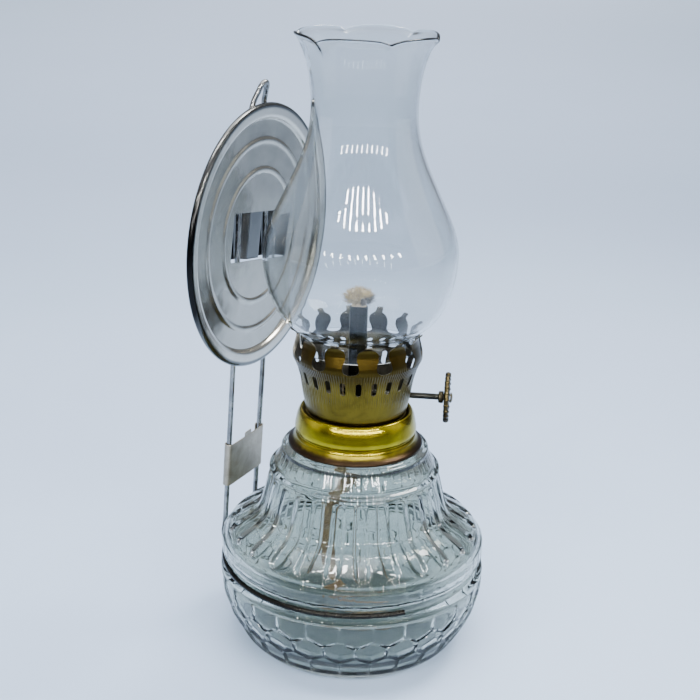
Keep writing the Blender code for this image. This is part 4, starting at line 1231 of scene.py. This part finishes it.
def area_light(name, place, target, size, power, spread, color=(1, 1, 1), roll=0.0):
    """A rectangular area light that looks at a point; its spread and roll are in degrees."""
    light = bpy.data.lights.new(name, "AREA")
    light.shape = "RECTANGLE"
    light.size, light.size_y = size
    light.energy = power
    light.spread = math.radians(spread)
    light.color = color
    lamp = link_new(name, light)
    lamp.location = place
    looking = (Vector(target) - Vector(place)).to_track_quat("-Z", "Y").to_matrix()
    lamp.rotation_euler = (looking @ Matrix.Rotation(math.radians(roll), 3, "Z")).to_euler()


def from_camera_side(right, away, up):
    """A point given from the camera's point of view: right, away and up from the lamp's foot, in metres."""
    c, s = math.cos(CAMERA_TURN), math.sin(CAMERA_TURN)
    return Vector((right * c - away * s, right * s + away * c, up))


def make_lights():
    """A soft key, two ceiling panels, one panel at each side, and small strips in front and overhead."""
    cool = (0.95, 0.97, 1.0)
    key = from_camera_side(0.55, 0.45, 1.1)
    area_light("key", key, (0, 0, 0.12), (0.35, 0.35), 2.6, 80, (1.0, 0.99, 0.97))
    ceilings = (("ceiling", 0.75, 1.5, (2.2, 1.3), 11.0), ("far_ceiling", 2.9, 2.2, (4.0, 2.2), 44.0))
    for name, away, up, size, power in ceilings:
        place, below = from_camera_side(0, away, up), from_camera_side(0, away, 0)
        area_light(name, place, below, size, power, 100, cool)
    for side in (-1, 1):
        panel = from_camera_side(0.9 * side, 0.02, 0.42)
        area_light(f"panel_{side}", panel, (0, 0, 0.16), (0.75, 0.7), 0.45, 100, cool)
    light_row("upper", math.radians(35.3), 11, math.radians(9), (0.032, 0.05), 0.22)
    light_row("lower", math.radians(15.5), 10, math.radians(10), (0.032, 0.13), 0.32)
    for i in range(8):
        place = from_camera_side((i - 3.5) * 0.13, -0.1, 1.25)
        area_light(f"over_{i}", place, (0, 0, 0.05), (0.035, 0.09), 0.16, 70)
    make_world()


def light_row(name, level, strips, spacing, size, power):
    """Strips on an arc round the lamp, at one elevation seen from the chimney."""
    flat, rise = polar(1.2, level)
    for i in range(strips):
        turn = math.radians(2) + (i - (strips - 1) / 2) * spacing
        place = from_camera_side(flat * math.sin(turn), -flat * math.cos(turn), 0.2 + rise)
        area_light(f"{name}_{i}", place, (0, 0, 0.2), size, power, 70, roll=14)


def make_world():
    """A dim room in front, a pale wall behind and a bright ceiling."""
    world = bpy.data.worlds.new("studio")
    bpy.context.scene.world = world
    n = Tree(world, "Generated")
    height = n.axes()["Z"]
    facing = n.add("ShaderNodeVectorMath", operation="DOT_PRODUCT")
    n.link(n.place, facing.inputs[0])
    facing.inputs[1].default_value = (-math.cos(FACING), -math.sin(FACING), 0)
    share = n.math("MULTIPLY_ADD", facing.outputs["Value"], 0.5, 0.5)
    dim, sky = (0.10, 0.105, 0.115), (1.0, 1.05, 1.15)
    room = n.ramp(height, [(0.0, (0.06, 0.063, 0.067)), (0.40, dim), (0.66, (0.40, 0.42, 0.46)), (1.0, sky)])
    wall = n.ramp(height, [(0.0, (0.66, 0.72, 0.82)), (0.5, (0.76, 0.82, 0.92)), (1.0, sky)])
    behind = n.ramp(share, [(0.22, 0.0), (0.34, 1.0)])
    background = n.tree.nodes["Background"]
    n.link(n.mix(behind, room, wall), background.inputs["Color"])
    background.inputs["Strength"].default_value = 0.42


def make_camera():
    """A 69.5 mm lens, half a metre in front of the lamp and 0.31 m up, looking a little down."""
    forward = Vector((-0.00573, 0.94227, -0.33480))
    roll = math.radians(1.54)
    level = forward.cross(Vector((0, 0, 1))).normalized()
    upright = level.cross(forward).normalized()
    right = level * math.cos(roll) + upright * math.sin(roll)
    up = upright * math.cos(roll) - level * math.sin(roll)
    turn = Matrix.Rotation(CAMERA_TURN, 3, "Z")
    axes = Matrix([turn @ right, turn @ up, turn @ -forward]).transposed()
    data = bpy.data.cameras.new("camera")
    data.lens, data.sensor_width = 69.5, 36.0
    data.clip_start = 0.01
    camera = link_new("camera", data)
    camera.matrix_world = Matrix.Translation(from_camera_side(0, -0.513, 0.309)) @ axes.to_4x4()
    bpy.context.scene.camera = camera


# -------------------------------------------------------------------------- assembly


def finish_hidden_nodes():
    """The CAD nodes whose shape is right stay, with finished materials."""
    finishes = {
        "collar_cement": make_plaster(), "burner_gasket": make_rubber(), "spindle_housing": TIN,
        "sprocket_wheel_1": TUBE_STEEL, "sprocket_wheel_2": TUBE_STEEL,
    }  # fmt: skip
    for name, finish in finishes.items():
        paint(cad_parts[name], finish)


make_camera()
make_floor()
make_lights()
make_font()
make_collar()
make_burner_base()
make_gallery()
make_wick_tube()
make_shaft_and_hub()
make_knob_wheel()
make_wick()
make_chimney()
make_hanger_wire()
make_clip_plate()
make_reflector()
finish_hidden_nodes()
